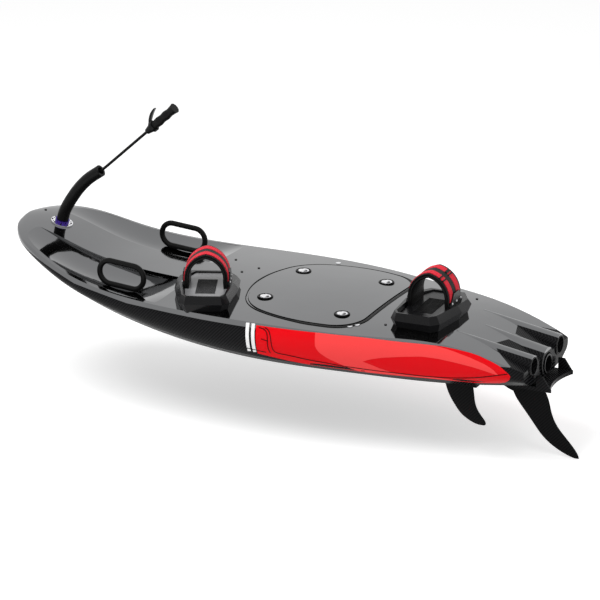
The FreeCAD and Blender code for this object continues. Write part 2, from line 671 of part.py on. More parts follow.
STATOR_VANES = 5
STATOR_PITCH = -12
stator_x = PUMP_REAR + size("stator_inset")
chord = size("stator_chord")
wall = size("stator_wall")
ring_long = 1.2 * chord
stator_ring = Part.makeCylinder(bore - GAP, ring_long, on_axis(stator_x - ring_long / 2), FORWARD)
ring_bore = Part.makeCylinder(bore - GAP - wall, 2 * ring_long, on_axis(stator_x - ring_long), FORWARD)
stator_ring = stator_ring.cut(ring_bore)
stator_hub = Part.makeCylinder(size("hub_radius"), ring_long, on_axis(stator_x - ring_long / 2), FORWARD)
stator_vanes = [vane(size("hub_radius") - wall, bore - wall / 2, wall, chord, STATOR_PITCH, stator_x,
                     360 / STATOR_VANES * turn) for turn in range(STATOR_VANES)]
stator_shape = stator_hub.multiFuse([stator_ring] + stator_vanes)
shaft_socket = Part.makeCylinder(size("shaft_radius") + GAP, chord, on_axis(stator_x - chord / 5), FORWARD)
keep(feature("stator", stator_shape.cut(shaft_socket)), "stator")

# Impeller: twisted blades on a hub, fast on the drive shaft.
IMPELLER_BLADES = 4
BLADE_PITCH = 42
BLADE_TWIST = 18
hub_x = TRANSOM + size("impeller_inset")
hub_long = size("impeller_long")
hub = Part.makeCylinder(size("hub_radius"), hub_long, on_axis(hub_x), FORWARD)
shaft_rear = stator_x - chord / 6
shaft = Part.makeCylinder(size("shaft_radius"), SHAFT_FRONT - shaft_rear, on_axis(shaft_rear), FORWARD)


def impeller_blade(turn):
    """Blade lofted from a steep root to a flatter tip."""
    sections = []
    for radius, pitch in ((size("hub_radius") - 2, BLADE_PITCH),
                          (bore - size("blade_gap"), BLADE_PITCH + BLADE_TWIST)):
        reach = 0.5 * hub_long / math.cos(math.radians(pitch)) * 0.8
        along = V(math.cos(math.radians(pitch)), math.sin(math.radians(pitch)), 0)
        off = V(-along.y, along.x, 0) * (size("blade_thick") / 2)
        middle = V(0, 0, radius)
        sections.append(wire([middle - along * reach - off, middle + along * reach - off,
                              middle + along * reach + off, middle - along * reach + off]))
    blade = Part.makeLoft(sections, True, True)
    blade.rotate(V(0, 0, 0), FORWARD, turn)
    blade.translate(on_axis(hub_x + hub_long / 2))
    return blade


swept = Part.makeCylinder(bore - size("blade_gap"), hub_long, on_axis(hub_x), FORWARD)
blades = [impeller_blade(360 / IMPELLER_BLADES * turn).common(swept) for turn in range(IMPELLER_BLADES)]
keep(feature("impeller", hub.multiFuse([shaft] + blades)), "impeller")

nozzle_long = "Sizes.pump_inset + Sizes.nozzle_proud - Sizes.fit_gap"
nozzle_lip = "Sizes.nozzle_bore + Sizes.nozzle_lip"
nozzle = turned("jet_nozzle", [
    ("0", "Sizes.nozzle_bore"), ("0", nozzle_lip), ("Sizes.nozzle_land", nozzle_lip),
    (nozzle_long, "Sizes.pump_radius"), (nozzle_long, housing_bore),
    ("Sizes.nozzle_land", "Sizes.nozzle_bore")])
nozzle.Placement.Base = on_axis(TRANSOM - size("nozzle_proud"))
keep(nozzle, "jet_nozzle")

# Intake grille: a plate with long slots, one pocket repeated across it.
GRILLE_SLOTS = 5
grille = doc.addObject("PartDesign::Body", "intake_grille")
grille_long = "Sizes.intake_long - 12 * Sizes.fit_gap - Sizes.grille_rim"
slot_pitch = "(2 * Sizes.intake_half - 2 * Sizes.fit_gap - Sizes.grille_bar) / %d" % GRILLE_SLOTS
half_wide = "(Sizes.intake_half - Sizes.fit_gap)"
plate_sketch = outline_sketch(grille, "grille_plate", "XY_Plane", [
    ("0", "-" + half_wide), (grille_long, "-" + half_wide), (grille_long, half_wide), ("0", half_wide)])
padded(grille, plate_sketch, "Sizes.grille_tall")
doc.recompute()
slot_low = "Sizes.grille_bar - " + half_wide
slot_high = slot_low + " + " + slot_pitch + " - Sizes.grille_bar"
slot_sketch = outline_sketch(grille, "grille_slot", "XY_Plane", [
    ("Sizes.grille_rim", slot_low), (grille_long + " - Sizes.grille_rim", slot_low),
    (grille_long + " - Sizes.grille_rim", slot_high), ("Sizes.grille_rim", slot_high)])
slot = pocketed(grille, slot_sketch)
doc.recompute()
slots = grille.newObject("PartDesign::LinearPattern", "grille_slots")
slots.Originals = [slot]
slots.Direction = (slot_sketch, ["V_Axis"])
slots.setExpression("Length", "(%s) * %d" % (slot_pitch, GRILLE_SLOTS - 1))
slots.Occurrences = GRILLE_SLOTS
grille.Tip = slots
grille_z = max(keel_level(INTAKE_FRONT), keel_level(INTAKE_REAR)) - size("grille_tall") / 3
grille.Placement.Base = V(INTAKE_REAR + 6 * GAP, 0, grille_z)
keep(grille, "intake_grille")

# Exhaust tubes, open at the stern and plugged by the silencer's end plate inside the hull.
for label, side in SIDES:
    inner = "Sizes.exhaust_radius - Sizes.exhaust_wall"
    blind = "Sizes.exhaust_long - 2 * Sizes.exhaust_wall"
    pipe = turned("exhaust_" + label, [
        ("0", inner), (blind, inner), (blind, "0"), ("Sizes.exhaust_long", "0"),
        ("Sizes.exhaust_long", "Sizes.exhaust_radius"), ("0", "Sizes.exhaust_radius")])
    pipe.Placement.Base = V(TRANSOM - size("exhaust_proud"), side * size("exhaust_y"), size("exhaust_z"))
    keep(pipe, "exhaust_" + label)

# Ride plate under the pump: flat plate with a concave rear edge and an upright cheek on each side.
plate_top = lowest_keel(TRANSOM + size("plate_inset")) - GAP
plate_base = plate_top - size("plate_thick")
side_y = size("plate_side")
nose_y = side_y - size("plate_nose")
plate_front = TRANSOM + size("plate_inset")
shoulder = plate_front - size("plate_taper")
plate_rear = TRANSOM - size("plate_overhang")
plate = prism([V(plate_front, nose_y, plate_base), V(shoulder, side_y, plate_base),
               V(plate_rear, side_y, plate_base),
               (V(plate_rear + size("plate_notch"), 0, plate_base), V(plate_rear, -side_y, plate_base)),
               V(shoulder, -side_y, plate_base), V(plate_front, -nose_y, plate_base)],
              V(0, 0, size("plate_thick")))
cheek_front = TRANSOM - centre_proud - GAP
cheeks = []
for _, side in SIDES:
    y = side * side_y - (size("cheek_thick") if side > 0 else 0)
    cheeks.append(prism([V(cheek_front, y, plate_base), V(cheek_front, y, size("cheek_top")),
                         V(cheek_front - size("cheek_long"), y, size("cheek_top")),
                         V(plate_rear, y, plate_top - size("plate_thick") / 3),
                         V(plate_rear, y, plate_base)], V(0, size("cheek_thick"), 0)))
keep(feature("ride_plate", plate.multiFuse(cheeks)), "ride_plate")

# Fins: each a loft of lens-shaped sections, swept aft to a rounded tip. Columns, as shares of the
# fin's depth: depth under its seat, leading and trailing edge aft of the root's front; then the share
# of its greatest thickness.
CENTRE_FIN = [
    (0.000, 0.000, 0.574, 1.00),
    (0.196, 0.109, 0.587, 0.95),
    (0.435, 0.265, 0.657, 0.85),
    (0.609, 0.404, 0.745, 0.72),
    (0.757, 0.526, 0.876, 0.58),
    (0.900, 0.717, 1.000, 0.42),
    (0.974, 0.880, 1.040, 0.30),
    (1.000, 0.965, 1.043, 0.22),
]
SIDE_FIN = [
    (0.000, 0.000, 0.846, 1.00),
    (0.137, 0.105, 0.862, 0.95),
    (0.436, 0.256, 0.915, 0.82),
    (0.641, 0.410, 1.009, 0.68),
    (0.778, 0.538, 1.120, 0.54),
    (0.897, 0.720, 1.215, 0.42),
    (0.966, 0.880, 1.225, 0.30),
    (1.000, 1.020, 1.180, 0.22),
]


def fin(table, front, deep, seat, y, thick, cant=0.0):
    sections = []
    for depth, lead, trail, share in table:
        z = seat - depth * deep
        side = share * thick / 2
        lean = y + cant * depth * deep
        nose = front - lead * deep
        tail = front - trail * deep
        middle = nose + 0.4 * (tail - nose)
        sections.append(wire([V(nose, lean, z), (V(middle, lean + side, z), V(tail, lean, z)),
                              (V(middle, lean - side, z), V(nose, lean, z))]))
    return Part.makeLoft(sections, True, False)


keep(feature("centre_fin", fin(CENTRE_FIN, TRANSOM + size("centre_fin_inset"), size("centre_fin_deep"),
                               plate_base - GAP, 0, size("centre_fin_thick"))), "centre_fin")

SIDE_FIN_CANT = 0.08
for label, side in SIDES:
    y = side * size("side_fin_y")
    front = TRANSOM + size("side_fin_inset")
    base_front = front + size("fin_base_thick") * 3
    seat = lowest_keel(base_front) - size("fin_base_thick")
    base = Part.makeBox(size("fin_base_long"), size("fin_base_wide"), size("hull_depth") / 4,
                        V(base_front - size("fin_base_long"), y - size("fin_base_wide") / 2,
                          seat - size("fin_base_thick") / 4))
    base = base.cut(hull_loft(-GAP))
    blade = fin(SIDE_FIN, front, size("side_fin_deep"), seat, y, size("side_fin_thick"), side * SIDE_FIN_CANT)
    keep(feature("side_fin_" + label, blade.fuse(base)), "side_fin_" + label)


def rounded_path(points, radius=None):
    """Straight runs joined by tangent arcs, each as large as its two runs allow or of the given radius."""
    edges = []
    start = points[0]
    for before, corner, after in zip(points, points[1:], points[2:]):
        arrive = (corner - before).normalize()
        leave = (after - corner).normalize()
        turn = arrive.getAngle(leave)
        shorter = min((corner - before).Length, (after - corner).Length)
        bend = radius or 0.45 * shorter / math.tan(turn / 2)
        back = bend * math.tan(turn / 2)
        first = corner - arrive * back
        last = corner + leave * back
        centre_way = (leave - arrive).normalize()
        middle = corner + centre_way * (bend / math.cos(turn / 2) - bend)
        if (first - start).Length > 1e-6:
            edges.append(Part.LineSegment(start, first).toShape())
        edges.append(Part.Arc(first, middle, last).toShape())
        start = last
    edges.append(Part.LineSegment(start, points[-1]).toShape())
    return Part.Wire(edges)


def tube(path, radius, direction):
    start = path.OrderedVertexes[0].Point
    ring = Part.Wire(Part.makeCircle(radius, start, direction))
    return path.makePipeShell([ring], True, True)


def lower_onto(shape, support, gap, turns=4):
    """Let a shape down until it is a gap away from what carries it."""
    for _ in range(turns):
        shape.translate(V(0, 0, gap - shape.distToShape(support)[0]))
    return shape


# Grab handles: closed upright loops of rubber tube that stand in the wells.
well_ground = hull_loft().cut(wells.Shape)


def ground_level(x, y):
    """Height of the deck with its wells at a point."""
    upright = Part.makeLine(V(x, y, -FAR), V(x, y, FAR))
    return well_ground.common(upright).optimalBoundingBox().ZMax


for label, side in SIDES:
    x, y = size("handle_x"), size("handle_y")
    long, tall = size("handle_long"), size("handle_tall")
    reach = size("handle_tube")
    seats = [ground_level(x + way * long / 2, side * y) for way in (-1, 1)]
    slope = math.atan2(seats[1] - seats[0], long)
    along = V(math.cos(slope), 0, math.sin(slope))
    upright = V(-math.sin(slope), 0, math.cos(slope))
    foot = V(x, side * y, max(seats) + 4 * reach)
    corners = [(0, 0), (0.5, 0), (0.5, 1), (-0.5, 1), (-0.5, 0), (0, 0)]
    ends = [foot + along * (part * long) + upright * (rise * tall) for part, rise in corners]
    loop = lower_onto(tube(rounded_path(ends, 0.49 * tall), reach, along), well_ground, GAP, 8)
    keep(feature("grab_handle_" + label, loop), "grab_handle_" + label)

# Foot bindings: faceted base, rubber foot bed, padded strap over it and a bracket at each strap foot.
# Columns: place, place of the middle of the base, way the toes point in degrees from the nose.
BINDINGS = [
    ("front", size("front_foot_x"), size("front_foot_y"), -67),
    ("rear", -size("rear_foot_x"), size("rear_foot_y"), -88),
]
# Base outline. Columns: share of the half length toward the toe, shares of the half width at the
# widest line and at the rim.
BASE = [(-1.0, 0.58, 0.55), (-0.84, 0.80, 0.70), (0.05, 1.00, 0.82), (0.60, 1.00, 0.82), (1.0, 0.62, 0.50)]
WAIST, RIM = 1, 2


def base_ring(column, shrink, z):
    half_long = size("foot_long") / 2 - shrink
    half_wide = size("foot_half") - shrink
    port = [V(row[0] * half_long, row[column] * half_wide, z) for row in BASE]
    star = [V(p.x, -p.y, p.z) for p in reversed(port)]
    return wire(port + star)


def rim_rise(along):
    """Height of the rim over the deck at a place along the foot."""
    share = (along + size("foot_long") / 2) / size("foot_long")
    return size("heel_rim") + share * (size("toe_rim") - size("heel_rim"))


# Marks of a strap's outline between its foot and its peak: shares of its half width and of its rise.
KNEE = (0.98, 0.20)
SHOULDER = (0.70, 0.76)


def arch(half, foot, peak, near):
    """Upright outline of a strap: legs that lean in, then one round over the foot."""
    rise = peak - foot
    knees = [V(near, side * KNEE[0] * half, foot + KNEE[1] * rise) for _, side in SIDES]
    shoulders = [V(near, side * SHOULDER[0] * half, foot + SHOULDER[1] * rise) for _, side in SIDES]
    return [V(near, half, foot), knees[0], (shoulders[0], V(near, 0, peak)), (shoulders[1], knees[1]),
            V(near, -half, foot)]


for label, x, y, turn in BINDINGS:
    place = FreeCAD.Placement(V(x, y, 0), FreeCAD.Rotation(UP, turn))
    deck = deck_level(x, y)
    half_long = size("foot_long") / 2
    body = Part.makeLoft([base_ring(WAIST, size("foot_tuck"), deck - size("base_sink")),
                          base_ring(WAIST, 0, deck + size("foot_waist")),
                          base_ring(RIM, 3, deck + size("heel_rim"))], True, True)
    over_rim = prism([V(-half_long, -FAR, deck + rim_rise(-half_long)),
                      V(half_long, -FAR, deck + rim_rise(half_long)), V(half_long, -FAR, deck + FAR),
                      V(-half_long, -FAR, deck + FAR)], V(0, 2 * FAR, 0))
    bed = deck + size("foot_bed")
    hollow = Part.makeLoft([base_ring(RIM, size("foot_wall") + 6, bed),
                            base_ring(RIM, size("foot_wall"), deck + size("heel_rim") + 1)], True, True)
    body = body.cut([over_rim, hollow])
    body.Placement = place
    keep(feature("binding_base_" + label, body.cut(hull_loft(GAP))), "binding_base_" + label)

    bed_inset = size("foot_wall") + 8
    pad = Part.makeLoft([base_ring(RIM, bed_inset, bed + GAP),
                         base_ring(RIM, bed_inset, bed + size("bed_thick"))], True, True)
    pad.Placement = place
    keep(feature("foot_bed_" + label, pad), "foot_bed_" + label)

    strap_foot = bed + size("bed_thick") + GAP
    peak = deck + size("strap_top")
    outer = 0.82 * (size("foot_half") - size("foot_wall")) - 6 - GAP
    near = size("strap_set") - size("strap_wide") / 2
    thick = size("strap_thick")
    strap = prism(arch(outer, strap_foot, peak, near), V(size("strap_wide"), 0, 0))
    inside = prism(arch(outer - thick, strap_foot - thick, peak - thick, near), V(size("strap_wide"), 0, 0))
    strap = strap.cut(inside)
    strap.Placement = place
    keep(feature("strap_" + label, strap), "strap_" + label)

    # Bracket: a winged plate that stands on the rim outside the strap, with two bolt holes.
    wings = []
    for _, side in SIDES:
        wing_y = side * (outer + GAP) - (size("wing_thick") if side < 0 else 0)
        middle = size("strap_set")
        rear, front = middle - size("wing_long") / 2, middle + size("wing_long") / 2
        crest_rear, crest_front = middle - size("wing_crest") / 2, middle + size("wing_crest") / 2
        top = deck + rim_rise(middle) + size("wing_tall")
        wing = prism([V(rear, wing_y, deck + rim_rise(rear) + GAP),
                      V(front, wing_y, deck + rim_rise(front) + GAP), V(crest_front, wing_y, top),
                      V(crest_rear, wing_y, top)], V(0, size("wing_thick"), 0))
        for hole_x in (crest_rear, crest_front):
            hole_z = deck + rim_rise(middle) + 0.4 * size("wing_tall")
            wing = wing.cut(Part.makeCylinder(size("wing_bolt"), FAR, V(hole_x, -FAR / 2, hole_z), PORT))
        wings.append(wing)
    pair = Part.makeCompound(wings)
    pair.Placement = place
    keep(feature("strap_brackets_" + label, pair), "strap_brackets_" + label)

# Nose fitting: flange bolted square to the sloping deck, coloured collar, control hose and cable.
nose_x = size("bow_reach") - size("flange_inset")
nose_reach = size("flange_radius")
nose_rise = deck_level(nose_x + nose_reach) - deck_level(nose_x - nose_reach)
nose_slope = math.atan2(nose_rise, 2 * nose_reach)
nose_up = V(-math.sin(nose_slope), 0, math.cos(nose_slope))
nose_seat = V(nose_x, 0, deck_level(nose_x))
FLANGE_BOLTS = 8
flange = doc.addObject("PartDesign::Body", "flange")
flange_tall = "Sizes.flange_thick + Sizes.flange_sink"
padded(flange, circle_sketch(flange, "flange_disc", "XY_Plane", "Sizes.flange_radius"), flange_tall)
doc.recompute()
hole_sketch = circle_sketch(flange, "flange_hole", "XY_Plane", "Sizes.flange_bolt", "Sizes.bolt_circle")
hole = pocketed(flange, hole_sketch)
doc.recompute()
bolt_ring = flange.newObject("PartDesign::PolarPattern", "flange_bolt_ring")
bolt_ring.Originals = [hole]
bolt_ring.Axis = (hole_sketch, ["N_Axis"])
bolt_ring.Angle = 360
bolt_ring.Occurrences = FLANGE_BOLTS
flange.Tip = bolt_ring
flange.Placement = FreeCAD.Placement(nose_seat - nose_up * size("flange_sink"), FreeCAD.Rotation(UP, nose_up))
keep(cut("nose_flange", flange, [feature("nose_skin", hull_loft(GAP))]), "nose_flange")
collar_seat = nose_seat + nose_up * (size("flange_thick") + GAP)
keep(cylinder("collar", "Sizes.collar_radius", "Sizes.collar_tall", collar_seat, nose_up), "nose_collar")

hose_base = collar_seat + nose_up * (size("collar_tall") + GAP)
# Corners of the hose's route from its foot, as shares of its height: aft, up. The first run stands
# square on the collar.
HOSE = [(-0.15, 0.34), (-0.33, 0.60), (-0.54, 0.82), (-0.80, 1.00)]
FIRST_RUN = 0.16
tall = size("hose_rise")
hose_points = [hose_base, hose_base + nose_up * (FIRST_RUN * tall)]
hose_points += [hose_base + V(aft * tall, 0, rise * tall) for aft, rise in HOSE]
hose = tube(rounded_path(hose_points), size("hose_radius"), nose_up)
hose_end = hose_points[-1]
hose_way = (hose_end - hose_points[-2]).normalize()
mouth_depth = size("hose_mouth")
mouth_start = hose_end - hose_way * mouth_depth
hose_mouth = Part.makeCylinder(size("hose_bore"), 2 * mouth_depth, mouth_start, hose_way)
keep(feature("control_hose", hose.cut(hose_mouth)), "control_hose")

cable_start = hose_end - hose_way * (mouth_depth - GAP)
cable_bend = hose_end + hose_way * size("cable_stub")
CABLE_WAY = V(-0.745, 0, 0.667)
cable_end = cable_bend + CABLE_WAY * size("cable_run")
cable_path = rounded_path([cable_start, cable_bend, cable_end])
cable = tube(cable_path, size("cable_radius"), cable_bend - cable_start)
keep(feature("throttle_cable", cable), "throttle_cable")

# Throttle grip at the cable's end, turned with a neck, three finger grooves and a flared butt.
grip_bulge = "Sizes.grip_radius"
grip_waist = "0.86 * Sizes.grip_radius"
grip_profile = [("0", "0"), ("0", "Sizes.grip_neck"), ("Sizes.grip_cone", grip_bulge)]
GROOVES = 3
for number in range(GROOVES):
    share = (number + 0.5) / GROOVES
    groove = "Sizes.grip_cone + %.3f * (Sizes.grip_long - 1.3 * Sizes.grip_cone)" % share
    crest = "Sizes.grip_cone + %.3f * (Sizes.grip_long - 1.3 * Sizes.grip_cone)" % (share + 0.5 / GROOVES)
    grip_profile += [(groove, grip_waist), (crest, grip_bulge)]
grip_profile += [("Sizes.grip_long", "1.1 * Sizes.grip_radius"), ("Sizes.grip_long", "0")]
grip = turned("throttle_grip", grip_profile)
grip_start = cable_end + CABLE_WAY * GAP
grip.Placement = FreeCAD.Placement(grip_start, FreeCAD.Rotation(FORWARD, CABLE_WAY))
keep(grip, "throttle_grip")

# Throttle trigger: a curved lever in front of the grip's neck, hinged on a band round it.
trigger_base = size("grip_cone")
band = Part.makeCylinder(size("grip_radius") + 3, size("trigger_wide"), V(trigger_base, 0, 0), FORWARD)
band_bore = V(trigger_base - size("trigger_wide"), 0, 0)
band = band.cut(Part.makeCylinder(size("grip_radius") + GAP, 3 * size("trigger_wide"), band_bore, FORWARD))
low_z = -size("grip_radius") - 2
# Outline of the lever. Columns: place along it as a share of its length, share of its reach.
LEVER = [(0.0, 0.0), (0.40, 0.65), (1.0, 1.0), (1.08, 0.85), (0.55, 0.40), (0.22, 0.0)]
lever_marks = [V(trigger_base + along * size("trigger_long"), -size("trigger_wide") / 2,
                 low_z - reach * size("trigger_reach")) for along, reach in LEVER]
lever = prism([lever_marks[0], (lever_marks[1], lever_marks[2]), lever_marks[3],
               (lever_marks[4], lever_marks[5])], V(0, size("trigger_wide"), 0))
trigger = band.fuse(lever)
trigger.Placement = FreeCAD.Placement(grip_start, FreeCAD.Rotation(FORWARD, CABLE_WAY))
keep(feature("throttle_trigger", trigger), "throttle_trigger")

# Small fittings in the deck: round screw plugs and three filler caps, each fitted to the crown.
# Columns: place along and across the board as shares of the bow reach and the half beam.
PLUGS = [(0.171, -0.322), (0.204, -0.146), (0.282, -0.455), (-0.437, 0.526), (-0.598, -0.543),
         (0.960, -0.140)]
CAPS = [(-0.338, 0.703), (-0.354, 0.644), (-0.040, -0.842)]


def deck_stud(x, y, radius):
    """Low round stud whose foot follows the deck."""
    stud = Part.makeCylinder(radius, 6 * size("plug_tall"), V(x, y, deck_level(x, y) - 5 * size("plug_tall")))
    return stud.cut(hull_loft(GAP))


STUDS = [("deck_plugs", PLUGS, size("plug_radius")), ("filler_caps", CAPS, size("cap_radius"))]
for label, table, radius in STUDS:
    studs = [deck_stud(share * size("bow_reach"), part * size("half_beam"), radius) for share, part in table]
    keep(feature(label, Part.makeCompound(studs)), label)


def check_and_write():
    for obj in doc.Objects:
        if "Invalid" in obj.State or "Error" in obj.State:
            raise RuntimeError("%s did not build: %s" % (obj.Label, obj.State))
    for obj in PARTS:
        if obj.Shape.isNull() or not obj.Shape.isValid() or obj.Shape.Volume <= 0:
            raise RuntimeError("%s has no valid solid" % obj.Label)
    os.makedirs("parts", exist_ok=True)
    for obj in PARTS:
        obj.Shape.exportStep("parts/%s.step" % obj.Label)
        extent = obj.Shape.BoundBox
        print("%-26s solids %d faces %3d volume %10.0f  x %.0f..%.0f y %.0f..%.0f z %.0f..%.0f" % (
            obj.Label, len(obj.Shape.Solids), len(obj.Shape.Faces), obj.Shape.Volume,
            extent.XMin, extent.XMax, extent.YMin, extent.YMax, extent.ZMin, extent.ZMax))


doc.recompute()
check_and_write()
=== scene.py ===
import math

import bmesh
import bpy
from mathutils import Matrix, Vector
from mathutils.bvhtree import BVHTree


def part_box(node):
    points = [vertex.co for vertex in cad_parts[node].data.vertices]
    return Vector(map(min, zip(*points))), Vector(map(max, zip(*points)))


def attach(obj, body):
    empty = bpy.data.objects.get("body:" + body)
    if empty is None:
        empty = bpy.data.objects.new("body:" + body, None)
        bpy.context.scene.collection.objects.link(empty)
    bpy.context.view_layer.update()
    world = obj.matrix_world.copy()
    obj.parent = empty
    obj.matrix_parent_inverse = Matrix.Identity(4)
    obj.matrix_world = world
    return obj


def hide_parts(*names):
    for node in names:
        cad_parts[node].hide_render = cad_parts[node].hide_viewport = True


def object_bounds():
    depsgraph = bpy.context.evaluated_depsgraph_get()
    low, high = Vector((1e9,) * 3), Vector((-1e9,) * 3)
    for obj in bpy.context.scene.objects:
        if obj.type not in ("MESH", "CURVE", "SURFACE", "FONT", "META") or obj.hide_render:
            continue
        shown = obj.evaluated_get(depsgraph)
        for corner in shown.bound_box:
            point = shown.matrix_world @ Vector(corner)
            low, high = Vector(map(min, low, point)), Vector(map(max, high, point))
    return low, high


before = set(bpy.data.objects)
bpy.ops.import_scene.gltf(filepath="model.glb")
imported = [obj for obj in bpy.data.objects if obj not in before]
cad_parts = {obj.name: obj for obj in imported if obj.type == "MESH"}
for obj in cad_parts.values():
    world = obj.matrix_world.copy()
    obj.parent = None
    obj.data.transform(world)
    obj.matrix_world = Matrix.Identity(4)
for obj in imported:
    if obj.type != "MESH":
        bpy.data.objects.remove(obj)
cad_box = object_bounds()

UP = Vector((0, 0, 1))

# Camera of the photograph: degrees, metres, and a focal length in pixels of a 600 pixel frame.
CAMERA_AZIMUTH = 205.9044
CAMERA_ELEVATION = 19.2894
CAMERA_ROLL = -0.2682
CAMERA_DISTANCE = 10.7126
CAMERA_TARGET = Vector((-0.03515, 0, 0.05786))
FOCAL_PIXELS = 3509.8
FRAME_PIXELS = 600
SENSOR = 36.0

# Paint and finish colours, as linear light.
DECK_GREY = (0.170, 0.172, 0.176)
CARBON_DARK = (0.0012, 0.0012, 0.0014)
CARBON_LIGHT = (0.012, 0.012, 0.013)
SHELL_BLACK = (0.002, 0.002, 0.0022)
SIGNAL_RED = (0.74, 0.0025, 0.007)
# Lighter red of the painted highlight bands on the side panels.
HIGHLIGHT_RED = (0.90, 0.060, 0.060)
WHITE = (0.85, 0.85, 0.85)
RUBBER_BLACK = (0.003, 0.003, 0.003)
PLASTIC_BLACK = (0.004, 0.004, 0.0045)
STRAP_RED = (0.62, 0.022, 0.040)
ANODISED_PURPLE = (0.055, 0.025, 0.26)


# Materials

class Look:
    """A node material under construction, with short ways to add what feeds its shader."""

    def __init__(self, name, colour, roughness, metallic=0.0, specular=0.5):
        self.material = bpy.data.materials.new(name)
        self.material.use_nodes = True
        self.tree = self.material.node_tree
        self.shader = self.tree.nodes["Principled BSDF"]
        self.set("Base Color", (*colour, 1))
        self.set("Roughness", roughness)
        self.set("Metallic", metallic)
        self.set("Specular IOR Level", specular)

    def set(self, socket, value):
        self.shader.inputs[socket].default_value = value

    def add(self, kind, inputs=None, **settings):
        made = self.tree.nodes.new(kind)
        for key, value in settings.items():
            setattr(made, key, value)
        for key, value in (inputs or {}).items():
            self.feed(made.inputs[key], value)
        return made

    def feed(self, socket, value):
        if isinstance(value, bpy.types.NodeSocket):
            self.tree.links.new(value, socket)
        else:
            socket.default_value = value

    def place(self, kind="Object"):
        return self.add("ShaderNodeTexCoord").outputs[kind]

    def math(self, operation, *values):
        return self.add("ShaderNodeMath", dict(enumerate(values)), operation=operation).outputs[0]

    def noise(self, scale, detail=3.0):
        made = self.add("ShaderNodeTexNoise", {"Vector": self.place(), "Scale": scale, "Detail": detail})
        return made.outputs["Fac"]

    def between(self, factor, low, high):
        """Value that runs from low to high with a factor."""
        made = self.add("ShaderNodeMapRange", {"Value": factor, "To Min": low, "To Max": high})
        return made.outputs["Result"]

    def colours(self, factor, low, high):
        made = self.add("ShaderNodeMix", data_type="RGBA")
        self.feed(made.inputs[0], factor)
        self.feed(made.inputs[6], (*low, 1))
        self.feed(made.inputs[7], (*high, 1))
        return made.outputs[2]

    def bump(self, height, distance, strength=1.0):
        made = self.add("ShaderNodeBump", {"Height": height, "Distance": distance, "Strength": strength})
        self.feed(self.shader.inputs["Normal"], made.outputs["Normal"])

    def paint(self, colour):
        self.feed(self.shader.inputs["Base Color"], colour)

    def roughen(self, roughness):
        self.feed(self.shader.inputs["Roughness"], roughness)


def speckled(name, colour, roughness, spread=0.25, scale=60.0, grain=900.0, depth=0.00005, **more):
    """Moulded or painted surface: soft patches of tone, a fine grain and uneven gloss."""
    look = Look(name, colour, roughness, **more)
    patches = look.noise(scale)
    low = [c * (1 - spread) for c in colour]
    high = [min(1, c * (1 + spread)) for c in colour]
    look.paint(look.colours(patches, low, high))
    look.roughen(look.between(patches, roughness * 0.85, roughness * 1.15))
    look.bump(look.noise(grain, 2.0), depth)
    return look.material


def deck_paint():
    """Titanium grey lacquer: dark metallic flake under a mirror-smooth coat."""
    look = Look("deck_paint", DECK_GREY, 0.06, metallic=1.0)
    flake = look.noise(2600, 1.0)
    cloud = look.noise(3.0)
    tone = look.math("ADD", look.between(flake, 0, 0.35), look.between(cloud, 0, 0.65))
    look.paint(look.colours(tone, [0.80 * c for c in DECK_GREY], [1.22 * c for c in DECK_GREY]))
    look.roughen(look.between(look.noise(180), 0.04, 0.09))
    return look.material


def twill(name, gloss=0.22, tow=0.0026, light=CARBON_LIGHT):
    """Clear-coated 2x2 carbon twill, laid flat on decks and upright on sides by the way a face looks."""
    look = Look(name, CARBON_DARK, gloss, specular=0.05)
    spot = look.add("ShaderNodeSeparateXYZ", {"Vector": look.place("Object")})
    facing = look.add("ShaderNodeSeparateXYZ", {"Vector": look.place("Normal")})
    flat = look.math("GREATER_THAN", look.math("ABSOLUTE", facing.outputs["Z"]), 0.6)
    second = look.add("ShaderNodeMix", {0: flat, 2: spot.outputs["Z"], 3: spot.outputs["Y"]})
    u = look.math("DIVIDE", spot.outputs["X"], tow)
    v = look.math("DIVIDE", second.outputs[0], tow)
    step = look.math("FLOORED_MODULO", look.math("ADD", look.math("FLOOR", u), look.math("FLOOR", v)), 4.0)
    over = look.math("LESS_THAN", step, 1.5)
    crown = look.math("ADD", look.math("MULTIPLY", over, look.math("PINGPONG", u, 0.5)),
                      look.math("MULTIPLY", look.math("SUBTRACT", 1.0, over), look.math("PINGPONG", v, 0.5)))
    tone = look.math("MULTIPLY_ADD", over, 0.75, look.math("MULTIPLY", crown, 0.5))
    look.paint(look.colours(tone, CARBON_DARK, light))
    look.roughen(look.between(over, gloss * 0.8, gloss * 1.5))
    look.bump(crown, 0.00004, 0.6)
    return look.material


def knurled(name, colour, roughness, scale, depth, **more):
    """Rubber or webbing with a fine regular rib across the object's own axes."""
    look = Look(name, colour, roughness, **more)
    wave = look.add("ShaderNodeTexWave", {"Vector": look.place(), "Scale": scale, "Distortion": 0.3},
                    wave_type="BANDS", bands_direction="DIAGONAL")
    look.paint(look.colours(wave.outputs["Fac"], [0.7 * c for c in colour], [1.25 * c for c in colour]))
    look.bump(wave.outputs["Fac"], depth)
    return look.material


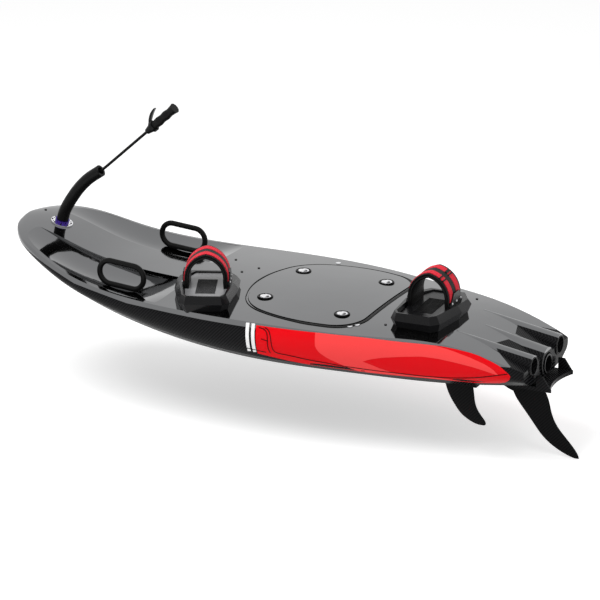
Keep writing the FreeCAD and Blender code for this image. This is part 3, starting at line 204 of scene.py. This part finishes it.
MATERIALS = {
    "deck": deck_paint(),
    "carbon": twill("carbon"),
    "carbon_fin": twill("carbon_fin", gloss=0.34, light=(0.006, 0.006, 0.0065)),
    "red": speckled("red_lacquer", SIGNAL_RED, 0.12, spread=0.03, scale=8, specular=0.06),
    "painted_highlight_red": speckled("red_lacquer_painted_highlight", HIGHLIGHT_RED, 0.12, spread=0.03, scale=8, specular=0.06),
    "black_line": speckled("black_lacquer", SHELL_BLACK, 0.15, specular=0.06),
    "white": speckled("white_lacquer", WHITE, 0.15, spread=0.02, scale=8),
    "rubber": speckled("rubber", RUBBER_BLACK, 0.42, grain=1400, specular=0.12),
    "plastic": speckled("moulded_plastic", PLASTIC_BLACK, 0.24, grain=1600, specular=0.14),
    # Front foot bed: lighter grey than the black rear bed, partly its own charcoal colour and partly painted
    # sheen for the reflection it shows.
    "bed_grey_sheen": speckled("moulded_grey_sheen", (0.17, 0.17, 0.175), 0.30, grain=1600),
    "hose": speckled("hose_rubber", RUBBER_BLACK, 0.36, grain=1200, specular=0.12),
    "cast": speckled("cast_aluminium", (0.30, 0.30, 0.31), 0.5, metallic=0.9, grain=500, depth=0.0002),
    "anodised": speckled("anodised", (0.40, 0.41, 0.43), 0.32, metallic=1.0, spread=0.08),
    "steel": speckled("brushed_steel", (0.55, 0.55, 0.57), 0.25, metallic=1.0, spread=0.08),
    "chrome": speckled("chrome", (0.80, 0.80, 0.82), 0.06, metallic=1.0, spread=0.03),
    "purple": speckled("purple_anodised", ANODISED_PURPLE, 0.20, metallic=0.9, spread=0.10),
    "webbing": knurled("red_webbing", STRAP_RED, 0.60, 420, 0.0001, specular=0.12),
    "label_band": knurled("grey_webbing", (0.014, 0.015, 0.014), 0.55, 420, 0.0001, specular=0.12),
    "padding": knurled("strap_padding", (0.003, 0.003, 0.003), 0.46, 300, 0.0001, specular=0.14),
    "silver": speckled("silver_plastic", (0.62, 0.62, 0.63), 0.30, spread=0.06),
}

# Finish of each CAD node that stays visible, by the start of its name.
NODE_LOOKS = {
    "hull_deck": "deck", "hatch_lid": "deck", "hull_": "carbon", "hatch_seal": "rubber",
    "latch_": "plastic", "engine_block": "cast", "pump_housing": "plastic", "stator": "anodised",
    "impeller": "steel", "jet_nozzle": "plastic", "intake_grille": "anodised", "exhaust_": "carbon",
    "ride_plate": "carbon", "centre_fin": "carbon_fin", "side_fin_": "carbon_fin",
    "grab_handle_": "rubber", "binding_base_": "plastic", "foot_bed_front": "bed_grey_sheen",
    "foot_bed_rear": "plastic", "strap_brackets_": "plastic", "strap_": "padding",
    "nose_flange": "chrome", "nose_collar": "purple", "control_hose": "hose",
    "throttle_cable": "rubber", "throttle_grip": "rubber", "throttle_trigger": "plastic",
    "deck_plugs": "plastic", "filler_caps": "chrome",
}
for name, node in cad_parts.items():
    key = next(key for key in NODE_LOOKS if name.startswith(key))
    node.material_slots[0].material = MATERIALS[NODE_LOOKS[key]]


# Mesh helpers

SHARP_ANGLE = 35


def mesh_piece(name, points, faces, material, body="hull"):
    """Piece that rides on a body, smooth but for its sharp edges, with its faces turned outward."""
    mesh = bpy.data.meshes.new(name)
    mesh.from_pydata(points, [], faces)
    work = bmesh.new()
    work.from_mesh(mesh)
    bmesh.ops.recalc_face_normals(work, faces=work.faces)
    work.to_mesh(mesh)
    work.free()
    mesh.shade_smooth()
    mesh.set_sharp_from_angle(angle=math.radians(SHARP_ANGLE))
    piece = bpy.data.objects.new(name, mesh)
    bpy.context.scene.collection.objects.link(piece)
    piece.data.materials.append(MATERIALS[material])
    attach(piece, body)
    return piece


def grid_faces(columns, rows, closed=False):
    """Faces of a grid of points in columns, each with its last row joined to its first when closed."""
    faces = []
    around = rows if closed else rows - 1
    for column in range(columns - 1):
        for row in range(around):
            first, second = column * rows + row, column * rows + (row + 1) % rows
            faces.append((first, first + rows, second + rows, second))
    return faces


def search_tree(*names):
    """Search tree over the faces of CAD nodes, to lay pieces on them."""
    points, faces = [], []
    for name in names:
        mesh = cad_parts[name].data
        start = len(points)
        points += [vertex.co.copy() for vertex in mesh.vertices]
        faces += [[start + index for index in face.vertices] for face in mesh.polygons]
    return BVHTree.FromPolygons(points, faces)


def polyline(points, spacing):
    """The same line with points no further apart than the spacing."""
    line = [Vector(points[0])]
    for here, there in zip(points, points[1:]):
        here, there = Vector(here), Vector(there)
        steps = max(1, math.ceil((there - here).length / spacing))
        line += [here.lerp(there, n / steps) for n in range(1, steps + 1)]
    return line


def smooth_line(points, spacing):
    """Curve through the points, close to the spacing (Catmull-Rom)."""
    ends = [Vector(points[0])] + [Vector(p) for p in points] + [Vector(points[-1])]
    line = [ends[1]]
    for a, b, c, d in zip(ends, ends[1:], ends[2:], ends[3:]):
        steps = max(1, math.ceil((c - b).length / spacing))
        for n in range(1, steps + 1):
            t = n / steps
            line.append(0.5 * (2 * b + (c - a) * t + (2 * a - 5 * b + 4 * c - d) * t * t
                               + (3 * b - a - 3 * c + d) * t ** 3))
    return line


def sideways(line):
    """Unit vector across a flat line at each of its points."""
    across = []
    for n in range(len(line)):
        run = line[min(n + 1, len(line) - 1)] - line[max(n - 1, 0)]
        across.append(Vector((-run.y, run.x)).normalized())
    return across


HULL_TREE = search_tree(*[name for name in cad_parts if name.startswith("hull_")])
DECK_TREE = search_tree("hull_deck", "hatch_lid")

# Search rays start well outside the board. Paint lies on the hull in three layers.
OUTSIDE = 1.0
SIDE_PLACE = 0.3
# The middle layer holds the lighter red bands of painted highlight.
PAINT_LIFT, HIGHLIGHT_LIFT, LINE_LIFT = 0.0006, 0.0010, 0.0013


def on_side(side, x, z, lift):
    """Point on the hull's side, lifted off it."""
    hit, normal, _, _ = HULL_TREE.ray_cast(Vector((x, side * OUTSIDE, z)), Vector((0, -side, 0)))
    if hit is None:
        hit, normal, _, _ = HULL_TREE.find_nearest(Vector((x, side * SIDE_PLACE, z)))
    return hit + normal * lift


def on_deck(x, y, lift, tree=DECK_TREE):
    """Point on the deck or on what a tree holds, lifted off it."""
    hit, normal, _, _ = tree.ray_cast(Vector((x, y, OUTSIDE)), -UP)
    return None if hit is None else hit + normal * lift


def evenly(points, count):
    """A given number of points spread evenly along a line."""
    line = [Vector(p) for p in points]
    lengths = [(b - a).length for a, b in zip(line, line[1:])]
    total = sum(lengths)
    spread, walked, index = [], 0.0, 0
    for n in range(count):
        goal = total * n / (count - 1)
        while index < len(lengths) - 1 and walked + lengths[index] < goal:
            walked += lengths[index]
            index += 1
        share = min(1.0, (goal - walked) / lengths[index])
        spread.append(line[index].lerp(line[index + 1], share))
    return spread


def side_patch(name, material, side, upper, lower, spacing=0.012, rows=8, lift=PAINT_LIFT):
    """Thin skin on the hull's side between two lines of (x, z) points that start and end alike."""
    count = max(len(polyline(upper, spacing)), len(polyline(lower, spacing)))
    columns = [evenly(upper, count), evenly(lower, count)]
    points = []
    for top, bottom in zip(*columns):
        for row in range(rows + 1):
            spot = top.lerp(bottom, row / rows)
            points.append(on_side(side, spot.x, spot.y, lift))
    return mesh_piece(name, points, grid_faces(count, rows + 1), material)


def side_line(name, material, side, line, width, spacing=0.006):
    """Thin painted line on the hull's side along (x, z) points."""
    run = smooth_line(line, spacing)
    points = []
    for spot, across in zip(run, sideways(run)):
        for way in (-0.5, 0.5):
            edge = spot + across * (way * width)
            points.append(on_side(side, edge.x, edge.y, LINE_LIFT))
    return mesh_piece(name, points, grid_faces(len(run), 2), material)


BEAD_SINK = 0.0006


def deck_bead(name, material, line, widths, height, tree=DECK_TREE):
    """Low rounded bead laid along (x, y) points. widths gives its width at each point."""
    profile = [(-0.5, -BEAD_SINK), (-0.42, 0.6 * height), (-0.22, height), (0.22, height),
               (0.42, 0.6 * height), (0.5, -BEAD_SINK)]
    points, rows = [], len(profile)
    columns = 0
    for spot, way, width in zip(line, sideways(line), widths):
        ring = []
        for share, rise in profile:
            edge = spot + way * (share * width)
            ring.append(on_deck(edge.x, edge.y, rise, tree))
        if None in ring:
            continue
        points += ring
        columns += 1
    return mesh_piece(name, points, grid_faces(columns, rows), material)


def solid(name, rings, material, body="hull"):
    """Skin over closed rings of points, one after the other, with flat ends."""
    count = len(rings[0])
    points = [point for ring in rings for point in ring]
    faces = grid_faces(len(rings), count, closed=True)
    faces.append(tuple(range(count)))
    faces.append(tuple(range(len(points) - count, len(points))))
    return mesh_piece(name, points, faces, material, body)


def basis(way):
    """Two unit vectors square to a direction and to each other."""
    first = way.orthogonal().normalized()
    return first, way.cross(first).normalized()


def turned(name, base, way, profile, material, body="hull", count=32):
    """Turned form. profile gives (along, radius) pairs from the base."""
    way = way.normalized()
    first, second = basis(way)
    rings = []
    for along, radius in profile:
        ring = []
        for n in range(count):
            angle = math.tau * n / count
            ring.append(base + way * along + first * (radius * math.cos(angle))
                        + second * (radius * math.sin(angle)))
        rings.append(ring)
    return solid(name, rings, material, body)


# Graphics on both sides, as (x, z) lines in metres: a red panel with lighter red bands of painted highlight, as
# if light fell on a folded panel, two black front curves and two white stripes.
PANEL_TOP = [(-0.807, -0.004), (-0.799, 0.005), (-0.776, 0.023), (-0.752, 0.034), (-0.711, 0.049),
             (-0.686, 0.055), (-0.641, 0.062), (-0.596, 0.067), (-0.480, 0.071), (-0.364, 0.078),
             (-0.246, 0.081), (-0.047, 0.083)]
PANEL_LOW = [(-0.807, -0.008), (-0.802, -0.020), (-0.786, -0.032), (-0.765, -0.040), (-0.700, -0.047),
             (-0.596, -0.043), (-0.480, -0.041), (-0.364, -0.037), (-0.233, -0.031), (-0.143, -0.022),
             (-0.047, -0.009)]
# Painted highlights: lighter red bands where light seems to fall on the panel. Columns: name, upper line, lower
# line. None is the panel's own edge.
HIGHLIGHTS_ON_PANEL = [
    ("front_highlight", [(-0.372, None), (-0.232, None)],
     [(-0.372, None), (-0.357, -0.0362), (-0.332, -0.027), (-0.303, -0.013), (-0.268, 0.004),
      (-0.244, 0.021), (-0.233, 0.038), (-0.232, 0.070)]),
    ("rear_highlight", [(-0.772, -0.004), (-0.755, 0.013), (-0.730, 0.026), (-0.687, 0.041), (-0.641, 0.054),
                   (-0.617, 0.060), (-0.579, None), (-0.480, None), (-0.372, None)],
     [(-0.772, -0.006), (-0.730, 0.005), (-0.693, 0.013), (-0.643, 0.021), (-0.593, 0.028), (-0.545, 0.031),
      (-0.496, 0.027), (-0.429, 0.019), (-0.394, 0.011), (-0.372, 0.002)]),
    ("low_highlight", [(-0.652, -0.0415), (-0.583, -0.037), (-0.538, -0.0365), (-0.448, -0.0285), (-0.413, -0.015),
                  (-0.393, -0.006), (-0.372, 0.002)],
     [(-0.652, -0.0425), (-0.583, None), (-0.480, None), (-0.372, None)]),
]
# The outer front curve runs on aft as the pinstripe.
CURVE_OUTER = [(-0.075, 0.079), (-0.086, 0.074), (-0.093, 0.062), (-0.096, 0.045), (-0.098, 0.026),
               (-0.102, 0.011), (-0.113, 0.003), (-0.152, -0.001), (-0.203, -0.008), (-0.252, -0.013),
               (-0.302, -0.019), (-0.350, -0.023), (-0.399, -0.027), (-0.447, -0.030), (-0.538, -0.035),
               (-0.612, -0.034), (-0.663, -0.029), (-0.714, -0.020), (-0.767, -0.006), (-0.799, 0.002)]
CURVE_INNER = [(-0.056, 0.077), (-0.071, 0.075), (-0.081, 0.067), (-0.085, 0.053), (-0.085, 0.032),
               (-0.086, 0.012), (-0.091, -0.001)]
CURVE_WIDTH = 0.0026
# Short lines of the front curves and of the white stripes.
CURVE_TICK = [(-0.065, 0.044), (-0.084, 0.040)]
CURVE_FOOT = [(-0.010, 0.006), (-0.045, 0.003), (-0.077, 0.000)]
TICK_WIDTH = 0.0024
# White stripes. Columns: rear and front corner at the top, rear and front corner at the foot.
STRIPES = [
    ([(-0.025, 0.0865), (-0.014, 0.0865)], [(-0.026, -0.004), (-0.015, -0.006)]),
    ([(-0.043, 0.0865), (-0.032, 0.0865)], [(-0.044, -0.004), (-0.033, -0.006)]),
]


def at_x(line, x):
    """Height of a line of (x, z) points at x."""
    for (x0, z0), (x1, z1) in zip(line, line[1:]):
        if x <= x1:
            return z0 + (z1 - z0) * max(0.0, (x - x0) / (x1 - x0))
    return line[-1][1]


for label, side in (("port", 1), ("starboard", -1)):
    side_patch("side_panel_" + label, "red", side, PANEL_TOP, PANEL_LOW)
    # The lighter red bands laid over the panel are painted highlight.
    for name, upper, lower in HIGHLIGHTS_ON_PANEL:
        lines = [[(x, at_x(edge, x) if z is None else z) for x, z in line]
                 for line, edge in ((upper, PANEL_TOP), (lower, PANEL_LOW))]
        side_patch("%s_%s" % (name, label), "painted_highlight_red", side, *lines, lift=HIGHLIGHT_LIFT)
    side_line("panel_curve_outer_" + label, "black_line", side, CURVE_OUTER, CURVE_WIDTH)
    side_line("panel_curve_inner_" + label, "black_line", side, CURVE_INNER, CURVE_WIDTH)
    side_line("panel_curve_tick_" + label, "black_line", side, CURVE_TICK, TICK_WIDTH)
    for number, (upper, lower) in enumerate(STRIPES):
        side_patch("side_stripe_%s_%d" % (label, number), "white", side, upper, lower)
    side_line("side_stripe_foot_" + label, "black_line", side, CURVE_FOOT, TICK_WIDTH)

# Engine lid: a dark seal runs round it, thin on most of its edge; along its rear and its port rear corner it is
# widened into painted shade in the gap between lid and deck.
# Columns: share of the lid's length from its rear edge, share of its half width.
LID_MARKS = [(0.0, 0.58), (0.07, 0.86), (0.21, 0.975), (0.45, 1.0), (0.74, 0.89), (0.87, 0.73), (0.945, 0.50),
             (1.0, 0.0)]
LID_FRONT, LID_REAR, LID_HALF = 0.098, -0.328, 0.258
LID_SPACING, CORNER_STEPS, NOSE_STEPS = 0.01, 16, 20
# Seal: how far its middle runs outside the lid, its widths and height, and where on each side it grows thin.
# Its wide part is partly painted shade.
# Columns of the last: place where it starts to grow thin, over what length.
SEAL_OUTSET, SEAL_AND_SHADE_WIDE, SEAL_THIN, SEAL_RISE = 0.0065, 0.0125, 0.0030, 0.0022
PORT_FADE, STARBOARD_FADE = (-0.17, 0.06), (-0.30, 0.02)


def arc_points(start, middle, end, count):
    """Points on the circle through three points of a plane."""
    ax, ay, bx, by, cx, cy = *start, *middle, *end
    d = 2 * (ax * (by - cy) + bx * (cy - ay) + cx * (ay - by))
    ux = ((ax * ax + ay * ay) * (by - cy) + (bx * bx + by * by) * (cy - ay)
          + (cx * cx + cy * cy) * (ay - by)) / d
    uy = ((ax * ax + ay * ay) * (cx - bx) + (bx * bx + by * by) * (ax - cx)
          + (cx * cx + cy * cy) * (bx - ax)) / d
    first = math.atan2(ay - uy, ax - ux)
    sweep = math.atan2(cy - uy, cx - ux) - first
    passed = math.atan2(by - uy, bx - ux) - first
    if not 0 < passed / sweep < 1:
        sweep -= math.copysign(math.tau, sweep)
    radius = math.hypot(ax - ux, ay - uy)
    return [Vector((ux + radius * math.cos(first + sweep * n / count),
                    uy + radius * math.sin(first + sweep * n / count))) for n in range(count + 1)]


def lid_line(outset):
    """Outline of the lid, from the middle of its rear edge round by port and back."""
    front, rear, half = LID_FRONT + outset, LID_REAR - outset, LID_HALF + outset
    port = [Vector((rear + share * (front - rear), part * half)) for share, part in LID_MARKS]
    line = polyline([(rear, 0), port[0]], LID_SPACING)
    for first, middle, last in ((0, 1, 2), (2, 3, 4), (4, 5, 6)):
        line += arc_points(port[first], port[middle], port[last], CORNER_STEPS)[1:]
    nose = arc_points(port[6], port[7], Vector((port[6].x, -port[6].y)), NOSE_STEPS)
    line += nose[1:NOSE_STEPS // 2 + 1]
    return line + [Vector((p.x, -p.y)) for p in reversed(line[:-1])]


def seal_and_shade_width(spot):
    """Wide along the rear edge and the port rear corner, where it is partly painted shade in the gap; thin
    elsewhere.
    """
    start, length = PORT_FADE if spot.y > 0 else STARBOARD_FADE
    fade = min(1.0, max(0.0, (spot.x - start) / length))
    return SEAL_AND_SHADE_WIDE + (SEAL_THIN - SEAL_AND_SHADE_WIDE) * fade


lid_edge = lid_line(SEAL_OUTSET)
deck_bead("lid_seal_and_shade", "rubber", lid_edge, [seal_and_shade_width(spot) for spot in lid_edge], SEAL_RISE)

# Latches: black bezel, chrome bowl and a grey paddle that turns them, from the top of the CAD latch.
# Columns: height, radius.
BEZEL = [(0.0, 0.0180), (0.0020, 0.0178), (0.0034, 0.0190), (0.0040, 0.0212), (0.0034, 0.0234),
         (0.0020, 0.0246), (0.0, 0.0248)]
BEZEL_SINK, BEZEL_COUNT = 0.0012, 48
# Columns: radius, height.
BOWL = [(0.0120, -0.0035), (0.0150, -0.0010), (0.0178, 0.0010), (0.0165, 0.0022), (0.0135, 0.0005),
        (0.0110, -0.0025)]
BOWL_START, BOWL_SWEEP = 95, 200
# Columns: height, share of the full width.
PADDLE = [(-0.0010, 1.0), (0.0014, 1.0), (0.0026, 0.93), (0.0030, 0.80)]
PADDLE_SHIFT, PADDLE_LONG, PADDLE_WIDE = 0.0015, 0.0150, 0.0125
PADDLE_START, PADDLE_SWEEP = -112, 224
LATCH_STEPS = 24
for name in sorted(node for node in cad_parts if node.startswith("latch_")):
    low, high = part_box(name)
    middle = Vector(((low.x + high.x) / 2, (low.y + high.y) / 2, high.z))
    turned(name + "_bezel", middle - UP * BEZEL_SINK, UP, BEZEL, "black_line", "hatch", BEZEL_COUNT)
    bowl = []
    for step in range(LATCH_STEPS + 1):
        angle = math.radians(BOWL_START + BOWL_SWEEP * step / LATCH_STEPS)
        bowl.append([middle + Vector((radius * math.cos(angle), radius * math.sin(angle), rise))
                     for radius, rise in BOWL])
    solid(name + "_bowl", bowl, "chrome", "hatch")
    paddle = []
    for rise, shrink in PADDLE:
        ring = []
        for step in range(LATCH_STEPS + 1):
            angle = math.radians(PADDLE_START + PADDLE_SWEEP * step / LATCH_STEPS)
            ring.append(middle + Vector((PADDLE_SHIFT + PADDLE_LONG * shrink * math.cos(angle),
                                         PADDLE_WIDE * shrink * math.sin(angle), rise)))
        paddle.append(ring)
    solid(name + "_paddle", paddle, "silver", "hatch")

# Foot straps: padded liner with rolled rims, two red bands of webbing round a grey one, and keeper loops.
# Columns: place, place of the middle of the base, way the toes point in degrees from the nose.
BINDINGS = [("front", 0.191, 0.182, -67), ("rear", -0.485, 0.035, -88)]
STRAP_NEAR, STRAP_FAR = -0.021, 0.079
STRAP_HALF = 0.0667
PAD_THICK = 0.014
ARCH_SPACING, ARCH_STEPS = 0.006, 28
# Bends of the strap's outer line, as shares of its half width and of its rise.
KNEE = (0.98, 0.20)
SHOULDER = (0.70, 0.76)


def strap_arch(foot, peak, half):
    """Outer line of a strap, from the foot on the ladder side round to the other foot."""
    rise = peak - foot
    knee = Vector((KNEE[0] * half, foot + KNEE[1] * rise))
    shoulder = Vector((SHOULDER[0] * half, foot + SHOULDER[1] * rise))
    side = polyline([(half, foot), knee], ARCH_SPACING) + arc_points(knee, shoulder, (0, peak), ARCH_STEPS)[1:]
    return side + [Vector((-p.x, p.y)) for p in reversed(side[:-1])]


def band_along(name, arch, place, ring, material, first=0.0, last=1.0):
    """Closed section of (across, outward) points, swept along part of an arch."""
    start, end = round(first * (len(arch) - 1)), round(last * (len(arch) - 1))
    rings = []
    for index in range(start, end + 1):
        run = (arch[min(len(arch) - 1, index + 1)] - arch[max(0, index - 1)]).normalized()
        out = Vector((run.y, -run.x))
        rings.append([place @ Vector((across, *(arch[index] + out * outward))) for across, outward in ring])
    return solid(name, rings, material)


def roll(centre, level, radius, start, end, steps=6):
    """Part of a round in a section, in degrees from the far side toward outward."""
    angles = [math.radians(start + (end - start) * n / steps) for n in range(steps + 1)]
    return [(centre + radius * math.cos(angle), level + radius * math.sin(angle)) for angle in angles]


LIP_RADIUS, ROLL_RADIUS = 0.0026, 0.0040


def liner_ring(near, far, thick):
    """Section of the liner: an outer lip, a groove and a thick inner roll at each rim."""
    lip, inner = LIP_RADIUS, ROLL_RADIUS
    ring = roll(far - lip, -lip, lip, 90, -60)
    ring += roll(far - inner, inner - thick, inner, 60, -90)
    ring += roll(near + inner, inner - thick, inner, -90, -240)
    ring += roll(near + lip, -lip, lip, -120, -270)
    return ring


WEB_BEVEL = 0.0006


def flat_ring(centre, wide, low_side, high_side):
    """Section of a flat web with bevelled outer edges."""
    bevel = WEB_BEVEL
    return [(centre - wide / 2, low_side), (centre + wide / 2, low_side),
            (centre + wide / 2, high_side - bevel), (centre + wide / 2 - bevel, high_side),
            (centre - wide / 2 + bevel, high_side), (centre - wide / 2, high_side - bevel)]


WEB_THICK, CENTRE_THICK = 0.0022, 0.0014
WEB_SINK = 0.0004
# Bands across a strap. Columns: name, middle, width, thickness, finish, where it ends along the arch.
BANDS = [
    ("web_near", 0.000, 0.024, WEB_THICK, "webbing", 0.93),
    ("web_centre", 0.026, 0.026, CENTRE_THICK, "label_band", 0.90),
    ("web_far", 0.053, 0.026, WEB_THICK, "webbing", 0.87),
]
# Keeper loops. Columns: middle of the band that each one holds, place along the arch.
LOOPS = [(0.000, 0.635), (0.000, 0.675), (0.053, 0.625), (0.053, 0.665)]
LOOP_WIDE, LOOP_THICK, LOOP_HALF = 0.029, 0.0042, 0.008
for label, x, y, turn in BINDINGS:
    foot, peak = (corner.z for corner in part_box("strap_" + label))
    place = Matrix.Translation((x, y, 0)) @ Matrix.Rotation(math.radians(turn), 4, "Z")
    arch = strap_arch(foot, peak, STRAP_HALF)
    ring = liner_ring(STRAP_NEAR, STRAP_FAR, PAD_THICK)
    liner = band_along("strap_liner_" + label, arch, place, ring, "padding")
    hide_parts("strap_" + label)
    for name, middle, wide, thick, finish, last in BANDS:
        ring = flat_ring(middle, wide, -WEB_SINK, thick)
        band_along("strap_%s_%s" % (name, label), arch, place, ring, finish, 1 - last, last)
    if label == "rear":
        for number, (middle, along) in enumerate(LOOPS):
            ring = flat_ring(middle, LOOP_WIDE, -WEB_SINK, LOOP_THICK)
            band_along("strap_loop_%s_%d" % (label, number), arch, place, ring, "rubber",
                       along - LOOP_HALF, along + LOOP_HALF)

# Ribs of the foot beds, and the screws that hold the strap brackets and the nose flange.
RIBS, RIB_FIRST, RIB_PITCH = 14, -0.060, 0.0095
RIB_HALF, RIB_SPACING, RIB_WIDE, RIB_RISE = 0.030, 0.006, 0.0045, 0.0016
# Bracket screws: places along the bracket, height over its foot, where their search rays start.
SCREW_PLACES, SCREW_RISE, SCREW_OUTSIDE = (-0.004, 0.029, 0.062), 0.010, 0.12
SCREW_SINK = 0.0005
BRACKET_COUNT, FLANGE_COUNT = 20, 16
# Heads. Columns: height, radius.
BRACKET_HEAD = [(0.0, 0.0036), (0.0016, 0.0035), (0.0024, 0.0028), (0.0026, 0.0018), (0.0014, 0.0014)]
FLANGE_HEAD = [(0.0, 0.0030), (0.0014, 0.0029), (0.0020, 0.0022), (0.0021, 0.0014), (0.0012, 0.0011)]
for label, x, y, turn in BINDINGS:
    bed_tree = search_tree("foot_bed_" + label)
    place = Matrix.Translation((x, y, 0)) @ Matrix.Rotation(math.radians(turn), 4, "Z")
    for number in range(RIBS):
        along = RIB_FIRST + RIB_PITCH * number
        ends = [place @ Vector((along, part, 0)) for part in (-RIB_HALF, RIB_HALF)]
        line = polyline([(end.x, end.y) for end in ends], RIB_SPACING)
        deck_bead("bed_rib_%s_%d" % (label, number), "rubber", line, [RIB_WIDE] * len(line), RIB_RISE, bed_tree)
    bracket_tree = search_tree("strap_brackets_" + label)
    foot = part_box("strap_brackets_" + label)[0].z
    places = [(along, side) for along in SCREW_PLACES for side in (-1, 1)]
    for number, (along, side) in enumerate(places):
        start = place @ Vector((along, side * SCREW_OUTSIDE, foot + SCREW_RISE))
        hit, normal, _, _ = bracket_tree.ray_cast(start, place.to_3x3() @ Vector((0, -side, 0)))
        turned("bracket_screw_%s_%d" % (label, number), hit - normal * SCREW_SINK, normal, BRACKET_HEAD,
               "silver", count=BRACKET_COUNT)

flange_tree = search_tree("nose_flange")
FLANGE_X, BOLT_CIRCLE, BOLTS = 0.794, 0.029, 8
for number in range(BOLTS):
    angle = math.tau * (number + 0.5) / BOLTS
    spot = Vector((FLANGE_X + BOLT_CIRCLE * math.cos(angle), BOLT_CIRCLE * math.sin(angle), OUTSIDE))
    hit, normal, _, _ = flange_tree.ray_cast(spot, -UP)
    turned("flange_screw_%d" % number, hit - normal * SCREW_SINK, normal, FLANGE_HEAD, "plastic",
           count=FLANGE_COUNT)

# Stage, light and camera
scene = bpy.context.scene

FLOOR_MARGIN = 0.002
FLOOR_HALF = 40.0
floor_z = cad_box[0].z - FLOOR_MARGIN
floor_mesh = bpy.data.meshes.new("floor")
corners = [(-1, -1), (1, -1), (1, 1), (-1, 1)]
floor_mesh.from_pydata([(x * FLOOR_HALF, y * FLOOR_HALF, floor_z) for x, y in corners], [], [(0, 1, 2, 3)])
floor = bpy.data.objects.new("floor", floor_mesh)
scene.collection.objects.link(floor)


def background_seen(tree):
    """Factor that is 1 for rays from the camera and for those that mirrors and glass send on."""
    path = tree.nodes.new("ShaderNodeLightPath")
    total = path.outputs["Is Camera Ray"]
    for extra in ("Is Glossy Ray", "Is Transmission Ray"):
        adder = tree.nodes.new("ShaderNodeMath")
        adder.operation = "MAXIMUM"
        tree.links.new(total, adder.inputs[0])
        tree.links.new(path.outputs[extra], adder.inputs[1])
        total = adder.outputs[0]
    return total


floor_look = Look("pale_floor", (0.80, 0.80, 0.80), 0.9, specular=0.0)
FLOOR_GLOW = 0.45
floor_look.set("Emission Color", (1, 1, 1, 1))
floor_look.feed(floor_look.shader.inputs["Emission Strength"],
                floor_look.math("MULTIPLY", background_seen(floor_look.tree), FLOOR_GLOW))
floor_mesh.materials.append(floor_look.material)

world = bpy.data.worlds.new("studio")
scene.world = world
world.use_nodes = True
sky = world.node_tree
AMBIENT = 0.55
background = sky.nodes["Background"]
background.inputs["Color"].default_value = (1, 1, 1, 1)
strength = sky.nodes.new("ShaderNodeMapRange")
strength.inputs["To Min"].default_value = AMBIENT
strength.inputs["To Max"].default_value = 1.0
sky.links.new(background_seen(sky), strength.inputs["Value"])
sky.links.new(strength.outputs["Result"], background.inputs["Strength"])

# Lamps. Columns: name, azimuth and elevation they stand at, distance, size, watts.
LAMPS = [
    ("key_light", 150, 62, 4.0, 3.0, 130),
    ("fill_light", 250, 35, 5.0, 3.5, 60),
]


def direction(azimuth, elevation):
    a, e = math.radians(azimuth), math.radians(elevation)
    return Vector((math.sin(a) * math.cos(e), -math.cos(a) * math.cos(e), math.sin(e)))


for name, azimuth, elevation, distance, width, watts in LAMPS:
    lamp = bpy.data.lights.new(name, "AREA")
    lamp.shape = "DISK"
    lamp.size = width
    lamp.energy = watts
    holder = bpy.data.objects.new(name, lamp)
    scene.collection.objects.link(holder)
    way = direction(azimuth, elevation)
    holder.location = way * distance
    holder.rotation_mode = "QUATERNION"
    holder.rotation_quaternion = (-way).to_track_quat("-Z", "Y")
    holder.visible_glossy = False

CAMERA_REACH = 100
camera = bpy.data.cameras.new("camera")
camera.sensor_width = SENSOR
camera.lens = FOCAL_PIXELS / FRAME_PIXELS * SENSOR
camera.clip_end = CAMERA_REACH
viewer = bpy.data.objects.new("camera", camera)
scene.collection.objects.link(viewer)
back = direction(CAMERA_AZIMUTH, CAMERA_ELEVATION)
viewer.location = CAMERA_TARGET + back * CAMERA_DISTANCE
viewer.rotation_mode = "QUATERNION"
viewer.rotation_quaternion = (-back).to_track_quat("-Z", "Y") @ Matrix.Rotation(
    math.radians(CAMERA_ROLL), 3, "Z").to_quaternion()
scene.camera = viewer

scene.view_settings.view_transform = "Standard"
